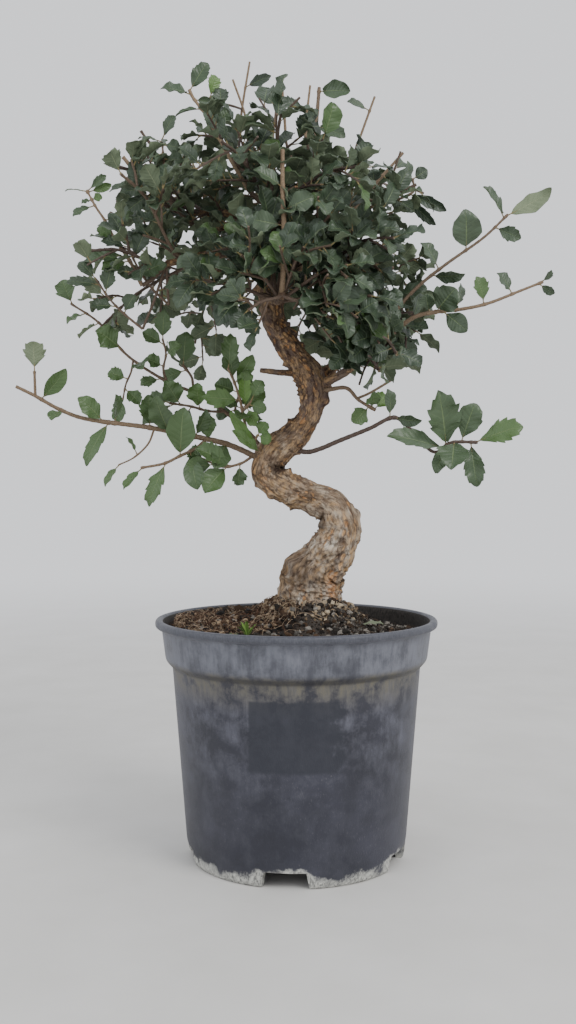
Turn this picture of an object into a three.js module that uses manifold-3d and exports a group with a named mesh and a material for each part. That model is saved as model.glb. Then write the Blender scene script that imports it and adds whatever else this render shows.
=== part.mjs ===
// A cork oak bonsai growing in a round plastic nursery pot.
// Millimetres, +Z up, the front towards -Y. The origin is the middle of the pot's underside.
import * as THREE from "three";
import { mergeVertices } from "three/addons/utils/BufferGeometryUtils.js";
import Module from "manifold-3d";

const wasm = await Module();
wasm.setup();

const { Vector3, CatmullRomCurve3, MeshStandardMaterial } = THREE;

// Clear space kept between pieces that touch on the real plant
const GAP = 0.35;

// Pot
const POT_HEIGHT = 160;
const POT_SIDES = 30;
const RIM_RADIUS = 95;
const LIP_HEIGHT = 5.2;
const LIP_WIDTH = 4.5;
const BAND_TOP_RADIUS = 90.6;
const BAND_BOTTOM_RADIUS = 88.2;
const BAND_BOTTOM = 134;
const SHOULDER = 129;
const SHOULDER_RADIUS = 83.5;
const FOOT_RADIUS = 71;
const FOOT_WIDTH = 3.5;
const FOOT_HEIGHT = 7.5;
const SEAT_RADIUS = 38;
const WALL = 1.8;
const FLOOR_THICKNESS = 2;
const FLOOR = FOOT_HEIGHT + FLOOR_THICKNESS;
const NOTCHES = 5;
const NOTCH_WIDTH = 30;
const NOTCH_HEIGHT = 6.8;
const FIRST_NOTCH_DEGREES = -96;
const DRAIN_SIZE = [9, 16];
const DRAIN_RADIUS = 56;

// Soil
const SOIL_LEVEL = 152;
const SOIL_SLOPE = -0.045;
const MOUND_HEIGHT = 26;
const MOUND_REACH = 34;
const SOIL_RINGS = [84, 74, 62, 48, 34];

// Trunk: a line of points with the radius there, from inside the soil to the top of the leader
const TRUNK = [
  [10, 0, 132, 21],
  [10, 0, 158, 21],
  [10, 0, 177, 20.8],
  [11, -1, 186, 20],
  [13, -3, 194, 19.5],
  [19.5, -5, 202, 17.6],
  [25.5, -7, 210, 15.5],
  [29, -8, 221, 13.8],
  [26, -7, 232, 12],
  [20, -5, 237, 12],
  [11, -2, 241, 11.4],
  [1, 1, 245, 11.8],
  [-9, 3, 249, 11.4],
  [-16.5, 5, 254.5, 10.4],
  [-19.5, 6, 263, 10.4],
  [-15, 5, 272, 11],
  [-4, 3, 282, 11.4],
  [5, 0, 291, 10.2],
  [10, -3, 302, 9.8],
  [11, -4, 313, 10],
  [8, -3, 324, 9.9],
  [2, -1, 335, 9.6],
  [-6, 1, 347, 9],
  [-13, 2, 358, 8.8],
  [-17, 2, 372, 8.4],
  [-20, 2, 392, 7],
  [-18, 4, 410, 5.4],
  [-13, 2, 430, 4],
  [-12, 0, 446, 3],
];
const TRUNK_SIDES = 12;
const TRUNK_STEPS = 44;
const LIMB_SIDES = 4;
const LIMB_STEPS = 3;
const HOLE_DEPTH = 128;
const BARK_START = 178;

// Crown: a rounded box shape about its centre, flatter below
const CROWN_CENTRE = new Vector3(-28, 0, 388);
const CROWN_WIDE = 120;
const CROWN_DEEP = 98;
const CROWN_UP = 118;
const CROWN_DOWN = 76;
const CROWN_ROUNDNESS = 2.6;

// Limbs that carry the crown, in tiers up the leader
const LIMB_REACH = 0.5;
const TIERS = [
  {
    azimuths: [20, 80, 140, 200, 320],
    elevation: 6,
    trunkShare: [0.865, 0.9],
    radius: 4,
    turns: [-21, 0, 21],
    elevations: [-18, 6, 26],
  },
  {
    azimuths: [45, 130, 185, 285],
    elevation: 42,
    trunkShare: [0.915, 0.96],
    radius: 3.3,
    turns: [-27, 0, 27],
    elevations: [38, 52, 30],
  },
];
const TIP_SHARE = 0.9;

// Cut twigs that stand up out of the top, by their tips
const TOP_FORKS = [
  {
    reach: [-38, -6, 460],
    tips: [[-32, 12, 531], [-40, -24, 510], [-76, -8, 511]],
  },
  {
    reach: [14, 2, 456],
    tips: [[-10, 4, 518], [15, -14, 510], [51, 2, 506]],
  },
];

const SHORTEST_STUB = 2.5;
const TWIG_RADIUS = 1.25;
const TWIG_TIP_RADIUS = 0.85;

// Leaves
const BLADE = 0.7;
const LEAF_LENGTH = [15.5, 22];
const LEAF_WIDTH_SHARE = 0.58;
const LEAF_FOLD = 0.22;
const LEAF_DROOP = 0.09;
const LEAF_RIPPLE = 0.035;
const LEAF_TRIES = 6;
const LEAF_CLEARANCE = 0.4;
const GOLDEN_TURN = 2.4;
const WIDE_LEAF = 10;
// Half widths down one side of a blade, as [share of its length, share of its half width]
const COARSE_EDGE = [[0.28, 0.94], [0.46, 0.84], [0.68, 0.98]];
const FINE_EDGE = [[0.22, 0.86], [0.38, 0.84], [0.58, 1], [0.76, 0.66]];

// Limbs placed one by one, in the trunk's own wood: points, then the radius at both ends
const OWN_LIMBS = {
  cutStub: {
    points: [[2, -1, 325], [-10, -5, 325], [-24, -10, 326]],
    radii: [2, 1.7],
  },
  rightBack: {
    points: [[9, -3, 317], [23, 4, 328], [37, 16, 345], [52, 26, 362]],
    radii: [4.6, 2.4],
  },
  rightFront: {
    points: [[9, -4, 314], [21, -8, 319], [34, -14, 326], [51, -24, 341], [64, -29, 350]],
    radii: [3.2, 2.1],
  },
  front: {
    points: [[-18, 2, 380], [-16, -24, 372], [-12, -48, 366], [-9, -68, 366]],
    radii: [4, 2.4],
  },
};

// Sprays placed one by one. A stem is its points, its radius at both ends, and its leaves as
// [share along the stem, tip, width, roll in degrees].
const OWN_SPRAYS = {
  low_left_branch: [
    {
      points: [[-16, 6, 262], [-30, 5, 270], [-46, 2, 277], [-62, -2, 281], [-98, -9, 288],
        [-137, -15, 293], [-155, -19, 299], [-171, -23, 308], [-183, -26, 314]],
      radii: [2.5, 1.3],
      leaves: [
        [0.9, [-149, -33, 324], 10, 40],
        [0.82, [-159, -30, 292], 8, 20],
        [0.66, [-142, -24, 307], 11, 15],
        [0.62, [-118, -22, 309], 9, 70],
        [0.64, [-139, -22, 263], 9, 20],
        [0.49, [-98, -16, 309], 12, 20],
        [0.42, [-92, -26, 307], 14, -20],
        [0.32, [-60, -10, 300], 8, 50],
        [0.2, [-54, -16, 261], 12, -25],
      ],
    },
    {
      points: [[-171, -23, 308], [-171, -24, 316], [-171, -25, 324]],
      radii: [1, 0.85],
      leaves: [[0.98, [-171, -29, 343], 12, 180]],
    },
    {
      points: [[-60, -2, 281], [-68, -6, 274], [-78, -10, 269], [-88, -14, 264], [-103, -18, 261]],
      radii: [1.2, 0.85],
      leaves: [
        [0.3, [-66, -14, 247], 12, 10],
        [0.45, [-74, -24, 300], 17, 0],
        [0.66, [-98, -20, 236], 9, 15],
        [0.97, [-114, -22, 247], 6, 30],
      ],
    },
  ],
  left_upright_shoot: [
    {
      points: [[-17, 2, 266], [-28, -4, 275], [-33, -5, 285], [-37, -6, 303], [-40, -6, 314],
        [-46, -4, 328]],
      radii: [1.5, 0.9],
      leaves: [
        [0.99, [-44, -7, 351], 10, 10],
        [0.84, [-29, -12, 336], 9, 30],
        [0.68, [-62, -14, 308], 11, -15],
        [0.74, [-32, -14, 325], 9, 25],
        [0.6, [-21, -3, 313], 9, 10],
        [0.5, [-24, 3, 296], 9, -30],
        [0.56, [-37, -20, 293], 10, -10],
        [0.6, [-54, 5, 305], 9, 45],
      ],
    },
  ],
  left_thin_branch: [
    {
      points: [[-17, 9, 266], [-26, 14, 278], [-36, 13, 289], [-62, 9, 309], [-88, 4, 320],
        [-114, 0, 337], [-132, -4, 358], [-151, -6, 371]],
      radii: [2, 0.9],
      leaves: [
        [0.55, [-105, -2, 317], 8, 20],
        [0.66, [-102, -12, 328], 10, -10],
        [0.74, [-132, -14, 352], 14, 10],
        [0.8, [-119, 6, 368], 13, 180],
        [0.87, [-147, 2, 349], 8, 60],
        [0.93, [-152, -14, 357], 7, 45],
        [0.99, [-156, -9, 386], 11, -10],
      ],
    },
    {
      points: [[-62, 9, 309], [-70, 12, 316], [-72, 13, 324], [-78, 13, 332]],
      radii: [1.1, 0.85],
      leaves: [
        [0.98, [-75, 8, 354], 13, 0],
        [0.85, [-93, 18, 322], 10, 15],
        [0.9, [-90, 14, 347], 9, -20],
      ],
    },
  ],
  low_right_branch: [
    {
      points: [[-8, 4, 276], [6, -2, 272], [16, -8, 274], [28, -12, 279], [48, -17, 287],
        [64, -22, 294], [75, -27, 285], [83, -32, 275], [90, -36, 271], [99, -40, 277],
        [115, -44, 277]],
      radii: [2.1, 1],
      leaves: [
        [0.76, [58, -46, 280], 12, 25],
        [0.86, [92, -52, 309], 17, 5],
        [0.93, [113, -50, 300], 13, -10],
        [0.99, [141, -55, 287], 13, -10],
        [0.87, [88, -48, 258], 9, 20],
        [0.9, [97, -60, 262], 13, 10],
        [0.97, [114, -48, 249], 11, 180],
        [0.55, [80, -34, 291], 7, 50],
        [0.53, [60, -27, 312], 8, 30],
      ],
    },
  ],
  right_twig: [
    {
      points: [[9, -6, 313], [20, -10, 313], [33, -13, 314], [41, -15, 306], [52, -18, 299]],
      radii: [1.8, 0.9],
      leaves: [
        [0.98, [60, -10, 309], 11, 10],
        [0.9, [37, -23, 291], 10, -20],
        [0.94, [50, -28, 309], 9, 20],
      ],
    },
    {
      points: [[40, -15, 307], [49, -13, 311], [64, -10, 320]],
      radii: [0.9, 0.85],
      leaves: [],
    },
  ],
  right_low_shoot: [
    {
      points: [[62, -28, 349], [76, -33, 358], [89, -34, 361], [107, -34, 363], [124, -33, 367],
        [144, -31, 375], [159, -30, 381]],
      radii: [1.8, 1.2],
      leaves: [
        [0.99, [164, -33, 388], 5, 60],
        [0.97, [166, -32, 373], 5, 45],
        [0.79, [129, -36, 386], 9, 30],
        [0.6, [115, -38, 383], 9, 20],
        [0.42, [107, -30, 380], 7, 60],
        [0.3, [100, -46, 374], 16, 0],
        [0.34, [108, -42, 348], 11, 15],
        [0.26, [82, -42, 371], 9, 15],
      ],
    },
  ],
  right_high_shoot: [
    {
      points: [[54, -25, 343], [64, -24, 362], [78, -25, 378], [97, -28, 393], [120, -30, 409],
        [136, -31, 424]],
      radii: [1.7, 1],
      leaves: [
        [0.99, [163, -36, 438], 11, 175],
        [0.97, [119, -38, 440], 8, 35],
        [0.9, [142, -40, 407], 8, 30],
        [0.7, [107, -42, 424], 17, 5],
        [0.52, [81, -33, 406], 10, 35],
        [0.47, [107, -38, 384], 8, 60],
      ],
    },
  ],
  front_shoot: [
    {
      points: [[-10, -62, 366], [-9, -71, 374], [-8, -74, 400], [-9, -76, 430], [-9, -76, 452]],
      radii: [2.3, 1.7],
      leaves: [
        [0.25, [-28, -80, 378], 12, 0],
        [0.35, [12, -82, 388], 12, 10],
        [0.5, [-28, -78, 410], 11, -20],
        [0.6, [10, -76, 424], 11, 10],
        [0.75, [-26, -84, 438], 10, 20],
      ],
    },
  ],
};

// Sprays on the two right limbs that fill the crown's low right side, by their tips
const RIGHT_SIDE_SPRAYS = [
  { limb: "rightBack", share: 0.6, tip: [70, 22, 338] },
  { limb: "rightBack", share: 0.98, tip: [88, 52, 372] },
  { limb: "rightFront", share: 0.62, tip: [52, -46, 322] },
  { limb: "rightFront", share: 0.84, tip: [62, -58, 331] },
];

const potMaterial = new MeshStandardMaterial({ color: 0x3d434f, roughness: 0.75, metalness: 0 });
const soilMaterial = new MeshStandardMaterial({ color: 0x2b211b, roughness: 1, metalness: 0 });
const barkMaterial = new MeshStandardMaterial({ color: 0x6e5a49, roughness: 0.95, metalness: 0 });
const leafMaterial = new MeshStandardMaterial({ color: 0x3f5637, roughness: 0.6, metalness: 0 });

// Closed geometries and solids

function solidFrom(geometry) {
  const bare = geometry.clone();
  bare.deleteAttribute("normal");
  bare.deleteAttribute("uv");
  const merged = mergeVertices(bare, 1e-4);
  return new wasm.Manifold(
    new wasm.Mesh({
      numProp: 3,
      vertProperties: merged.attributes.position.array,
      triVerts: new Uint32Array(merged.index.array),
    }),
  );
}

function meshFrom(solid, name, material) {
  const { numProp, numVert, vertProperties, triVerts } = solid.getMesh();
  const positions = new Float32Array(numVert * 3);
  for (let i = 0; i < numVert; i += 1) {
    positions.set(vertProperties.subarray(i * numProp, i * numProp + 3), i * 3);
  }
  const geometry = new THREE.BufferGeometry();
  geometry.setAttribute("position", new THREE.BufferAttribute(positions, 3));
  geometry.setIndex(new THREE.BufferAttribute(new Uint32Array(triVerts), 1));
  geometry.computeVertexNormals();
  const mesh = new THREE.Mesh(geometry, material);
  mesh.name = name;
  return mesh;
}

function joined(solids) {
  return solids.reduce((whole, piece) => whole.add(piece));
}

function moveVertices(geometry, move) {
  const position = geometry.attributes.position;
  const point = new Vector3();
  for (let i = 0; i < position.count; i += 1) {
    point.fromBufferAttribute(position, i);
    move(point);
    position.setXYZ(i, point.x, point.y, point.z);
  }
  return geometry;
}

// A draw between 0 and 1 that is always the same for the same two counts.
function draw(count, kind) {
  const value = Math.sin(count * 12.9898 + kind * 78.233) * 43758.5453;
  return value - Math.floor(value);
}

// Curves and round stems along them

function curveThrough(points) {
  const places = points.map(([x, y, z]) => new Vector3(x, y, z));
  const curve = new CatmullRomCurve3(places, false, "catmullrom", 0.5);
  const chord = places.at(-1).clone().sub(places[0]);
  const sizes = chord.toArray().map(Math.abs);
  const least = sizes.indexOf(Math.min(...sizes));
  curve.reference = new Vector3().setComponent(least, 1);
  return curve;
}

// The point at a share of the curve's length, with the curve's direction and two across it.
function frameAt(curve, share) {
  const along = curve.getTangentAt(share);
  const side = new Vector3().crossVectors(along, curve.reference).normalize();
  const across = new Vector3().crossVectors(along, side);
  return { point: curve.getPointAt(share), along, side, across };
}

function stemGeometry(curve, radiusAt, sides, steps, from = 0, to = 1) {
  const geometry = new THREE.CylinderGeometry(1, 1, 1, sides, steps);
  return moveVertices(geometry, (point) => {
    const share = THREE.MathUtils.clamp(from + (to - from) * (point.y + 0.5), 0, 1);
    const frame = frameAt(curve, share);
    const radius = radiusAt(share, Math.atan2(point.z, point.x));
    const { x, z } = point;
    point.copy(frame.point);
    point.addScaledVector(frame.across, x * radius);
    point.addScaledVector(frame.side, z * radius);
  });
}

function taper([start, end]) {
  return (share) => start + (end - start) * share;
}

// Pot

function potProfile() {
  const inner = SHOULDER_RADIUS - WALL;
  return [
    [0, 0],
    [SEAT_RADIUS, 0],
    [SEAT_RADIUS + 4, FOOT_HEIGHT],
    [FOOT_RADIUS - FOOT_WIDTH - 1.5, FOOT_HEIGHT],
    [FOOT_RADIUS - FOOT_WIDTH, 0],
    [FOOT_RADIUS, 0],
    [FOOT_RADIUS + 3.3, FOOT_HEIGHT + 0.5],
    [SHOULDER_RADIUS, SHOULDER],
    [BAND_BOTTOM_RADIUS, BAND_BOTTOM],
    [BAND_TOP_RADIUS, POT_HEIGHT - LIP_HEIGHT - 1],
    [RIM_RADIUS, POT_HEIGHT - LIP_HEIGHT],
    [RIM_RADIUS, POT_HEIGHT - 1.5],
    [RIM_RADIUS - 1.2, POT_HEIGHT],
    [RIM_RADIUS - LIP_WIDTH, POT_HEIGHT],
    [BAND_TOP_RADIUS - WALL, POT_HEIGHT - 2],
    [BAND_BOTTOM_RADIUS - WALL, BAND_BOTTOM + 1],
    [inner, SHOULDER + 1.2],
    [FOOT_RADIUS + 1.6, FLOOR],
    [SEAT_RADIUS + 3, FLOOR],
    [SEAT_RADIUS - 1, FLOOR_THICKNESS],
    [0, FLOOR_THICKNESS],
  ];
}

function turned(profile) {
  const points = profile.map(([radius, height]) => new THREE.Vector2(radius, height));
  return new THREE.LatheGeometry(points, POT_SIDES).rotateX(Math.PI / 2);
}

function boxAt(azimuthDegrees, [deep, wide, high], radius, middle) {
  return new THREE.BoxGeometry(deep, wide, high)
    .translate(radius, 0, middle)
    .rotateZ(THREE.MathUtils.degToRad(azimuthDegrees));
}

function makePot() {
  let pot = solidFrom(turned(potProfile()));
  for (let i = 0; i < NOTCHES; i += 1) {
    const azimuth = FIRST_NOTCH_DEGREES + (360 / NOTCHES) * i;
    const notch = [24, NOTCH_WIDTH, NOTCH_HEIGHT + 1];
    const drain = [...DRAIN_SIZE, 6];
    pot = pot.subtract(solidFrom(boxAt(azimuth, notch, FOOT_RADIUS + 2, (NOTCH_HEIGHT - 1) / 2)));
    pot = pot.subtract(solidFrom(boxAt(azimuth, drain, DRAIN_RADIUS, FLOOR - 1)));
  }
  return pot;
}

// Soil

function soilTop(x, y) {
  const trunkDistance = Math.hypot(x - TRUNK[0][0], y - TRUNK[0][1]);
  const mound = MOUND_HEIGHT * Math.exp(-((trunkDistance / MOUND_REACH) ** 2));
  const lumps = 0.8 * Math.sin(x / 6.1 + y / 8.3) + 0.7 * Math.sin(y / 5.3 - x / 11.7);
  return SOIL_LEVEL + SOIL_SLOPE * x + mound + lumps;
}

function soilProfile() {
  const shoulder = SHOULDER_RADIUS - WALL - GAP - 0.15;
  const band = BAND_BOTTOM_RADIUS - WALL - GAP - 0.15;
  return [
    [0, FLOOR_THICKNESS + GAP],
    [SEAT_RADIUS - 1 - GAP, FLOOR_THICKNESS + GAP],
    [SEAT_RADIUS + 3 - GAP, FLOOR + GAP],
    [FOOT_RADIUS + 1.6 - GAP - 0.15, FLOOR + GAP],
    [shoulder, SHOULDER + 1.4],
    [band, BAND_BOTTOM + 1.4],
    [band + 1.2, SOIL_LEVEL],
    ...SOIL_RINGS.map((radius) => [radius, SOIL_LEVEL]),
    [0, SOIL_LEVEL],
  ];
}

function makeSoil() {
  const geometry = moveVertices(turned(soilProfile()), (point) => {
    if (point.z > SOIL_LEVEL - 1) {
      point.z = soilTop(point.x, point.y);
    }
  });
  const hole = new THREE.CylinderGeometry(1, 1, 1, TRUNK_SIDES);
  const curve = curveThrough([TRUNK[0], TRUNK[1], TRUNK[2]]);
  const frame = frameAt(curve, 0);
  const radius = TRUNK[0][3] + GAP + 0.1;
  moveVertices(hole, (point) => {
    const { x, y, z } = point;
    point.copy(frame.point).setZ(y < 0 ? HOLE_DEPTH : POT_HEIGHT + 40);
    point.addScaledVector(frame.across, x * radius);
    point.addScaledVector(frame.side, z * radius);
  });
  return solidFrom(geometry).subtract(solidFrom(hole));
}

// Trunk and limbs

const trunkCurve = curveThrough(TRUNK);
trunkCurve.reference = new Vector3(0, 1, 0);

function trunkRadius(share) {
  const place = trunkCurve.getUtoTmapping(share) * (TRUNK.length - 1);
  const lower = Math.min(Math.floor(place), TRUNK.length - 2);
  return THREE.MathUtils.lerp(TRUNK[lower][3], TRUNK[lower + 1][3], place - lower);
}

function barkRadius(share, angle) {
  const radius = trunkRadius(share);
  const height = trunkCurve.getPointAt(share).z;
  const fade = THREE.MathUtils.smoothstep(height, BARK_START, BARK_START + 12);
  const ridges = 0.045 * Math.sin(3 * angle + 31 * share) + 0.03 * Math.sin(4 * angle - 67 * share);
  const knots = 0.03 * Math.sin(113 * share + 2 * Math.sin(angle));
  return radius * (1 + fade * (ridges + knots));
}

function crownPoint(azimuthDegrees, elevationDegrees, share) {
  const azimuth = THREE.MathUtils.degToRad(azimuthDegrees);
  const elevation = THREE.MathUtils.degToRad(elevationDegrees);
  const away = new Vector3(
    Math.cos(elevation) * Math.cos(azimuth),
    Math.cos(elevation) * Math.sin(azimuth),
    Math.sin(elevation),
  );
  const tall = elevation > 0 ? CROWN_UP : CROWN_DOWN;
  const sum = Math.abs(away.x / CROWN_WIDE) ** CROWN_ROUNDNESS
    + Math.abs(away.y / CROWN_DEEP) ** CROWN_ROUNDNESS
    + Math.abs(away.z / tall) ** CROWN_ROUNDNESS;
  const reach = share / sum ** (1 / CROWN_ROUNDNESS);
  return CROWN_CENTRE.clone().addScaledVector(away, reach);
}

// Three points from a start to an end, the middle one lifted.
function bowed(start, end, lift) {
  const middle = start.clone().lerp(end, 0.5);
  middle.z += lift;
  return [start, middle, end].map((point) => point.toArray());
}

function tierLimb(tier, index) {
  const [low, high] = tier.trunkShare;
  const share = low + ((high - low) * index) / (tier.azimuths.length - 1);
  const start = trunkCurve.getPointAt(share);
  const end = crownPoint(tier.azimuths[index], tier.elevation, LIMB_REACH);
  return { points: bowed(start, end, 3), radii: [tier.radius, tier.radius * 0.55] };
}

function topLimb({ reach }) {
  const start = trunkCurve.getPointAt(0.985);
  return { points: bowed(start, new Vector3(...reach), 2), radii: [2.8, 2] };
}

// A spray's first stem, leaving its limb at a share of the limb's length.
function stemFrom(limb, share, tip) {
  const curve = curveThrough(limb.points);
  const start = curve.getPointAt(share);
  const along = curve.getTangentAt(share);
  const length = start.distanceTo(tip);
  const first = start.clone().addScaledVector(along, length * 0.06).lerp(tip, 0.16);
  const second = start.clone().lerp(tip, 0.62);
  second.z += length * 0.07;
  return {
    points: [start, first, second, tip].map((point) => point.toArray()),
    radii: [TWIG_RADIUS, TWIG_TIP_RADIUS],
  };
}

// Leaves

function awayFromCrown(point) {
  return point.clone().sub(CROWN_CENTRE).normalize();
}

// A leaf by rule: its root on the stem, its tip, its width and the way its upper face looks.
function ruledLeaf(curve, share, seed, turn) {
  const { point, along, side, across } = frameAt(curve, share);
  const around = GOLDEN_TURN * seed + turn * 0.8;
  const lean = share > 0.95 ? 0.3 : 0.85 + 0.4 * draw(seed, 1);
  const direction = along.clone().multiplyScalar(Math.cos(lean));
  direction.addScaledVector(side, Math.sin(lean) * Math.cos(around));
  direction.addScaledVector(across, Math.sin(lean) * Math.sin(around));
  direction.z += 0.12;
  direction.normalize();
  const [shortest, longest] = LEAF_LENGTH;
  const length = shortest + (longest - shortest) * draw(seed, 2);
  const face = awayFromCrown(point).multiplyScalar(0.7);
  face.x += 0.9 * (draw(seed, 3) - 0.5);
  face.y += 0.9 * (draw(seed, 4) - 0.5);
  face.z += 0.55;
  return {
    root: point,
    tip: point.clone().addScaledVector(direction, length),
    width: length * (LEAF_WIDTH_SHARE + 0.1 * (draw(seed, 5) - 0.5)),
    face,
    edge: COARSE_EDGE,
  };
}

// A leaf placed by hand: a roll of zero turns its upper face to the front.
function placedLeaf(curve, [share, tip, width, roll], turn) {
  const root = curve.getPointAt(share);
  const end = new Vector3(...tip);
  const axis = end.clone().sub(root).normalize();
  const angle = THREE.MathUtils.degToRad(roll + 22 * turn * (turn % 2 ? 1 : -1));
  const face = new Vector3(0, -1, 0.25).applyAxisAngle(axis, angle);
  return { root, tip: end, width, face, edge: width < WIDE_LEAF ? COARSE_EDGE : FINE_EDGE };
}

// A thin closed blade: two halves folded along the midrib, drooping to the tip, with a toothed edge.
function bladeGeometry({ root, tip, width, face, edge }, margin = 0) {
  const along = tip.clone().sub(root);
  const length = along.length();
  along.normalize();
  const up = face.clone().addScaledVector(along, -face.dot(along)).normalize();
  const side = new Vector3().crossVectors(along, up);
  const place = (share, offset, height) => root.clone()
    .addScaledVector(along, share * length)
    .addScaledVector(side, offset)
    .addScaledVector(up, height + LEAF_DROOP * length * 0.5 * (1 - share) * share * 4);
  const rows = [place(0, 0, 0)];
  for (const hand of [1, -1]) {
    const list = hand > 0 ? edge : edge.toReversed();
    for (const [share, half] of list) {
      const offset = hand * ((half * width) / 2 + margin);
      const ripple = LEAF_RIPPLE * length * Math.sin(share * 17 + hand);
      rows.push(place(share + 0.03 * hand, offset, LEAF_FOLD * Math.abs(offset) + ripple));
    }
    if (hand > 0) {
      rows.push(place(1 + margin / length, 0, 0));
    }
  }
  const peak = edge.length + 1;
  const half = BLADE / 2 + margin;
  const positions = [half, -half].flatMap((height) =>
    rows.flatMap((point) => point.clone().addScaledVector(up, height).toArray()));
  const count = rows.length;
  const faces = [];
  const addFace = (a, b, c) => {
    faces.push(a, b, c);
    faces.push(count + a, count + c, count + b);
  };
  for (let i = 1; i < edge.length; i += 1) {
    addFace(peak, peak + i, peak + i + 1);
    addFace(peak, i, i + 1);
  }
  addFace(peak, count - 1, 1);
  addFace(0, 1, count - 1);
  for (let i = 0; i < count; i += 1) {
    const next = (i + 1) % count;
    faces.push(i, count + i, next);
    faces.push(next, count + i, count + next);
  }
  const geometry = new THREE.BufferGeometry();
  geometry.setAttribute("position", new THREE.Float32BufferAttribute(positions, 3));
  geometry.setIndex(faces);
  return geometry;
}

// Sprays

const placed = []; // every twig and blade so far, with its node, its stem and its box

function meets(solid, other) {
  const a = solid.boundingBox();
  const b = other.box;
  const apart = [0, 1, 2].some((axis) => a.min[axis] > b.max[axis] || a.max[axis] < b.min[axis]);
  return !apart && !solid.intersect(other.solid).isEmpty();
}

function keep(solid, node, stem) {
  placed.push({ solid, node, stem, box: solid.boundingBox() });
}

function clearOfOthers(solid, node) {
  return !placed.some((other) => other.node !== node && meets(solid, other));
}

function clearOfSiblings(solid, node, stem) {
  return !placed.some((other) => other.node === node && other.stem !== stem && meets(solid, other));
}

function stemSides(stem) {
  return stem.radii[0] > 1.6 ? 4 : 3;
}

// Wood along part of a stem, with more rings on the stems that bend more.
function woodSolid(stem, curve, from, to, thicker = 0) {
  const steps = to < 1 ? 1 : Math.round(stem.points.length * 1.3) - 1;
  const radius = taper(stem.radii.map((end) => end + thicker));
  return solidFrom(stemGeometry(curve, radius, stemSides(stem), steps, from, to));
}

// How far along itself a spray's first stem is clear of the wood that it grows from.
function leavingShare(stem, curve, wood) {
  const length = curve.getLength();
  for (let reach = GAP; reach < length / 2; reach += 1) {
    if (!meets(woodSolid(stem, curve, reach / length, 1, GAP), wood)) {
      return reach / length;
    }
  }
  throw new Error("a stem runs along its limb");
}

// The curves and wood of a spray's stems. A side twig that would cross another spray is left out.
function growStems(name, stems, wood) {
  return stems.flatMap((stem, index) => {
    const curve = curveThrough(stem.points);
    const leaving = index === 0 ? leavingShare(stem, curve, wood) : 0;
    const from = leaving ? leaving + GAP / curve.getLength() : 0;
    const solid = woodSolid(stem, curve, from, 1);
    if (!clearOfOthers(solid, name)) {
      if (index === 0) {
        throw new Error(`${name} crosses another branch`);
      }
      return [];
    }
    keep(solid, name, index);
    return [{ stem, curve, leaving, solid, index }];
  });
}

function leafCandidates(stem, curve, turn) {
  if (stem.leaves) {
    return stem.leaves.map((entry) => placedLeaf(curve, entry, turn));
  }
  return stem.shares.map((share, i) => ruledLeaf(curve, share, stem.seed + i, turn));
}

// The blades on one stem, each turned until it is clear of everything else, or left out.
function growLeaves(name, { stem, curve, index }) {
  const blades = [];
  const rounds = Array.from({ length: LEAF_TRIES }, (_, turn) => leafCandidates(stem, curve, turn));
  for (let i = 0; i < rounds[0].length; i += 1) {
    for (const round of rounds) {
      const blade = solidFrom(bladeGeometry(round[i]));
      const wide = solidFrom(bladeGeometry(round[i], LEAF_CLEARANCE));
      if (clearOfOthers(wide, name) && clearOfSiblings(blade, name, index)) {
        blades.push(blade);
        keep(blade, name, "blade");
        break;
      }
    }
  }
  return blades;
}

function ruledSpray(limb, share, tip, shares, seed) {
  return [{ ...stemFrom(limb, share, tip), shares, seed }];
}

const LEAFY_TO_THE_TIP = [0.42, 0.58, 0.74, 0.88, 0.99];
const BARE_TIP = [0.4, 0.55, 0.7, 0.84];

function tierSprays(tier, tierIndex) {
  return tier.azimuths.flatMap((azimuth, i) => {
    const limb = tierLimb(tier, i);
    return [0.62, 1, 0.8].map((share, j) => {
      const seed = 100 * (tierIndex + 1) + 15 * i + 5 * j;
      const reach = TIP_SHARE + 0.08 * draw(seed, 6);
      const tip = crownPoint(azimuth + tier.turns[j], tier.elevations[j], reach);
      return ruledSpray(limb, share, tip, LEAFY_TO_THE_TIP, seed);
    });
  });
}

function topSprays() {
  return TOP_FORKS.flatMap((fork, i) => {
    const limb = topLimb(fork);
    return fork.tips.map((tip, j) => {
      const seed = 300 + 15 * i + 5 * j;
      return ruledSpray(limb, [0.55, 0.75, 1][j], new Vector3(...tip), BARE_TIP, seed);
    });
  });
}

function rightSideSprays() {
  return RIGHT_SIDE_SPRAYS.map(({ limb, share, tip }, i) => {
    const seed = 400 + 5 * i;
    return ruledSpray(OWN_LIMBS[limb], share, new Vector3(...tip), LEAFY_TO_THE_TIP, seed);
  });
}

function allSprays() {
  const crown = [...TIERS.flatMap(tierSprays), ...topSprays(), ...rightSideSprays()];
  const named = crown.map((stems, i) => [`spray_${String(i + 1).padStart(2, "0")}`, stems]);
  return [...Object.entries(OWN_SPRAYS), ...named];
}

function makeWood() {
  const trunk = solidFrom(stemGeometry(trunkCurve, barkRadius, TRUNK_SIDES, TRUNK_STEPS));
  const limbs = [
    ...Object.values(OWN_LIMBS),
    ...TIERS.flatMap((tier) => tier.azimuths.map((_, i) => tierLimb(tier, i))),
    ...TOP_FORKS.map(topLimb),
  ];
  const limbSolids = limbs.map(({ points, radii }) =>
    solidFrom(stemGeometry(curveThrough(points), taper(radii), LIMB_SIDES, LIMB_STEPS)));
  return joined([trunk, ...limbSolids]);
}

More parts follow.
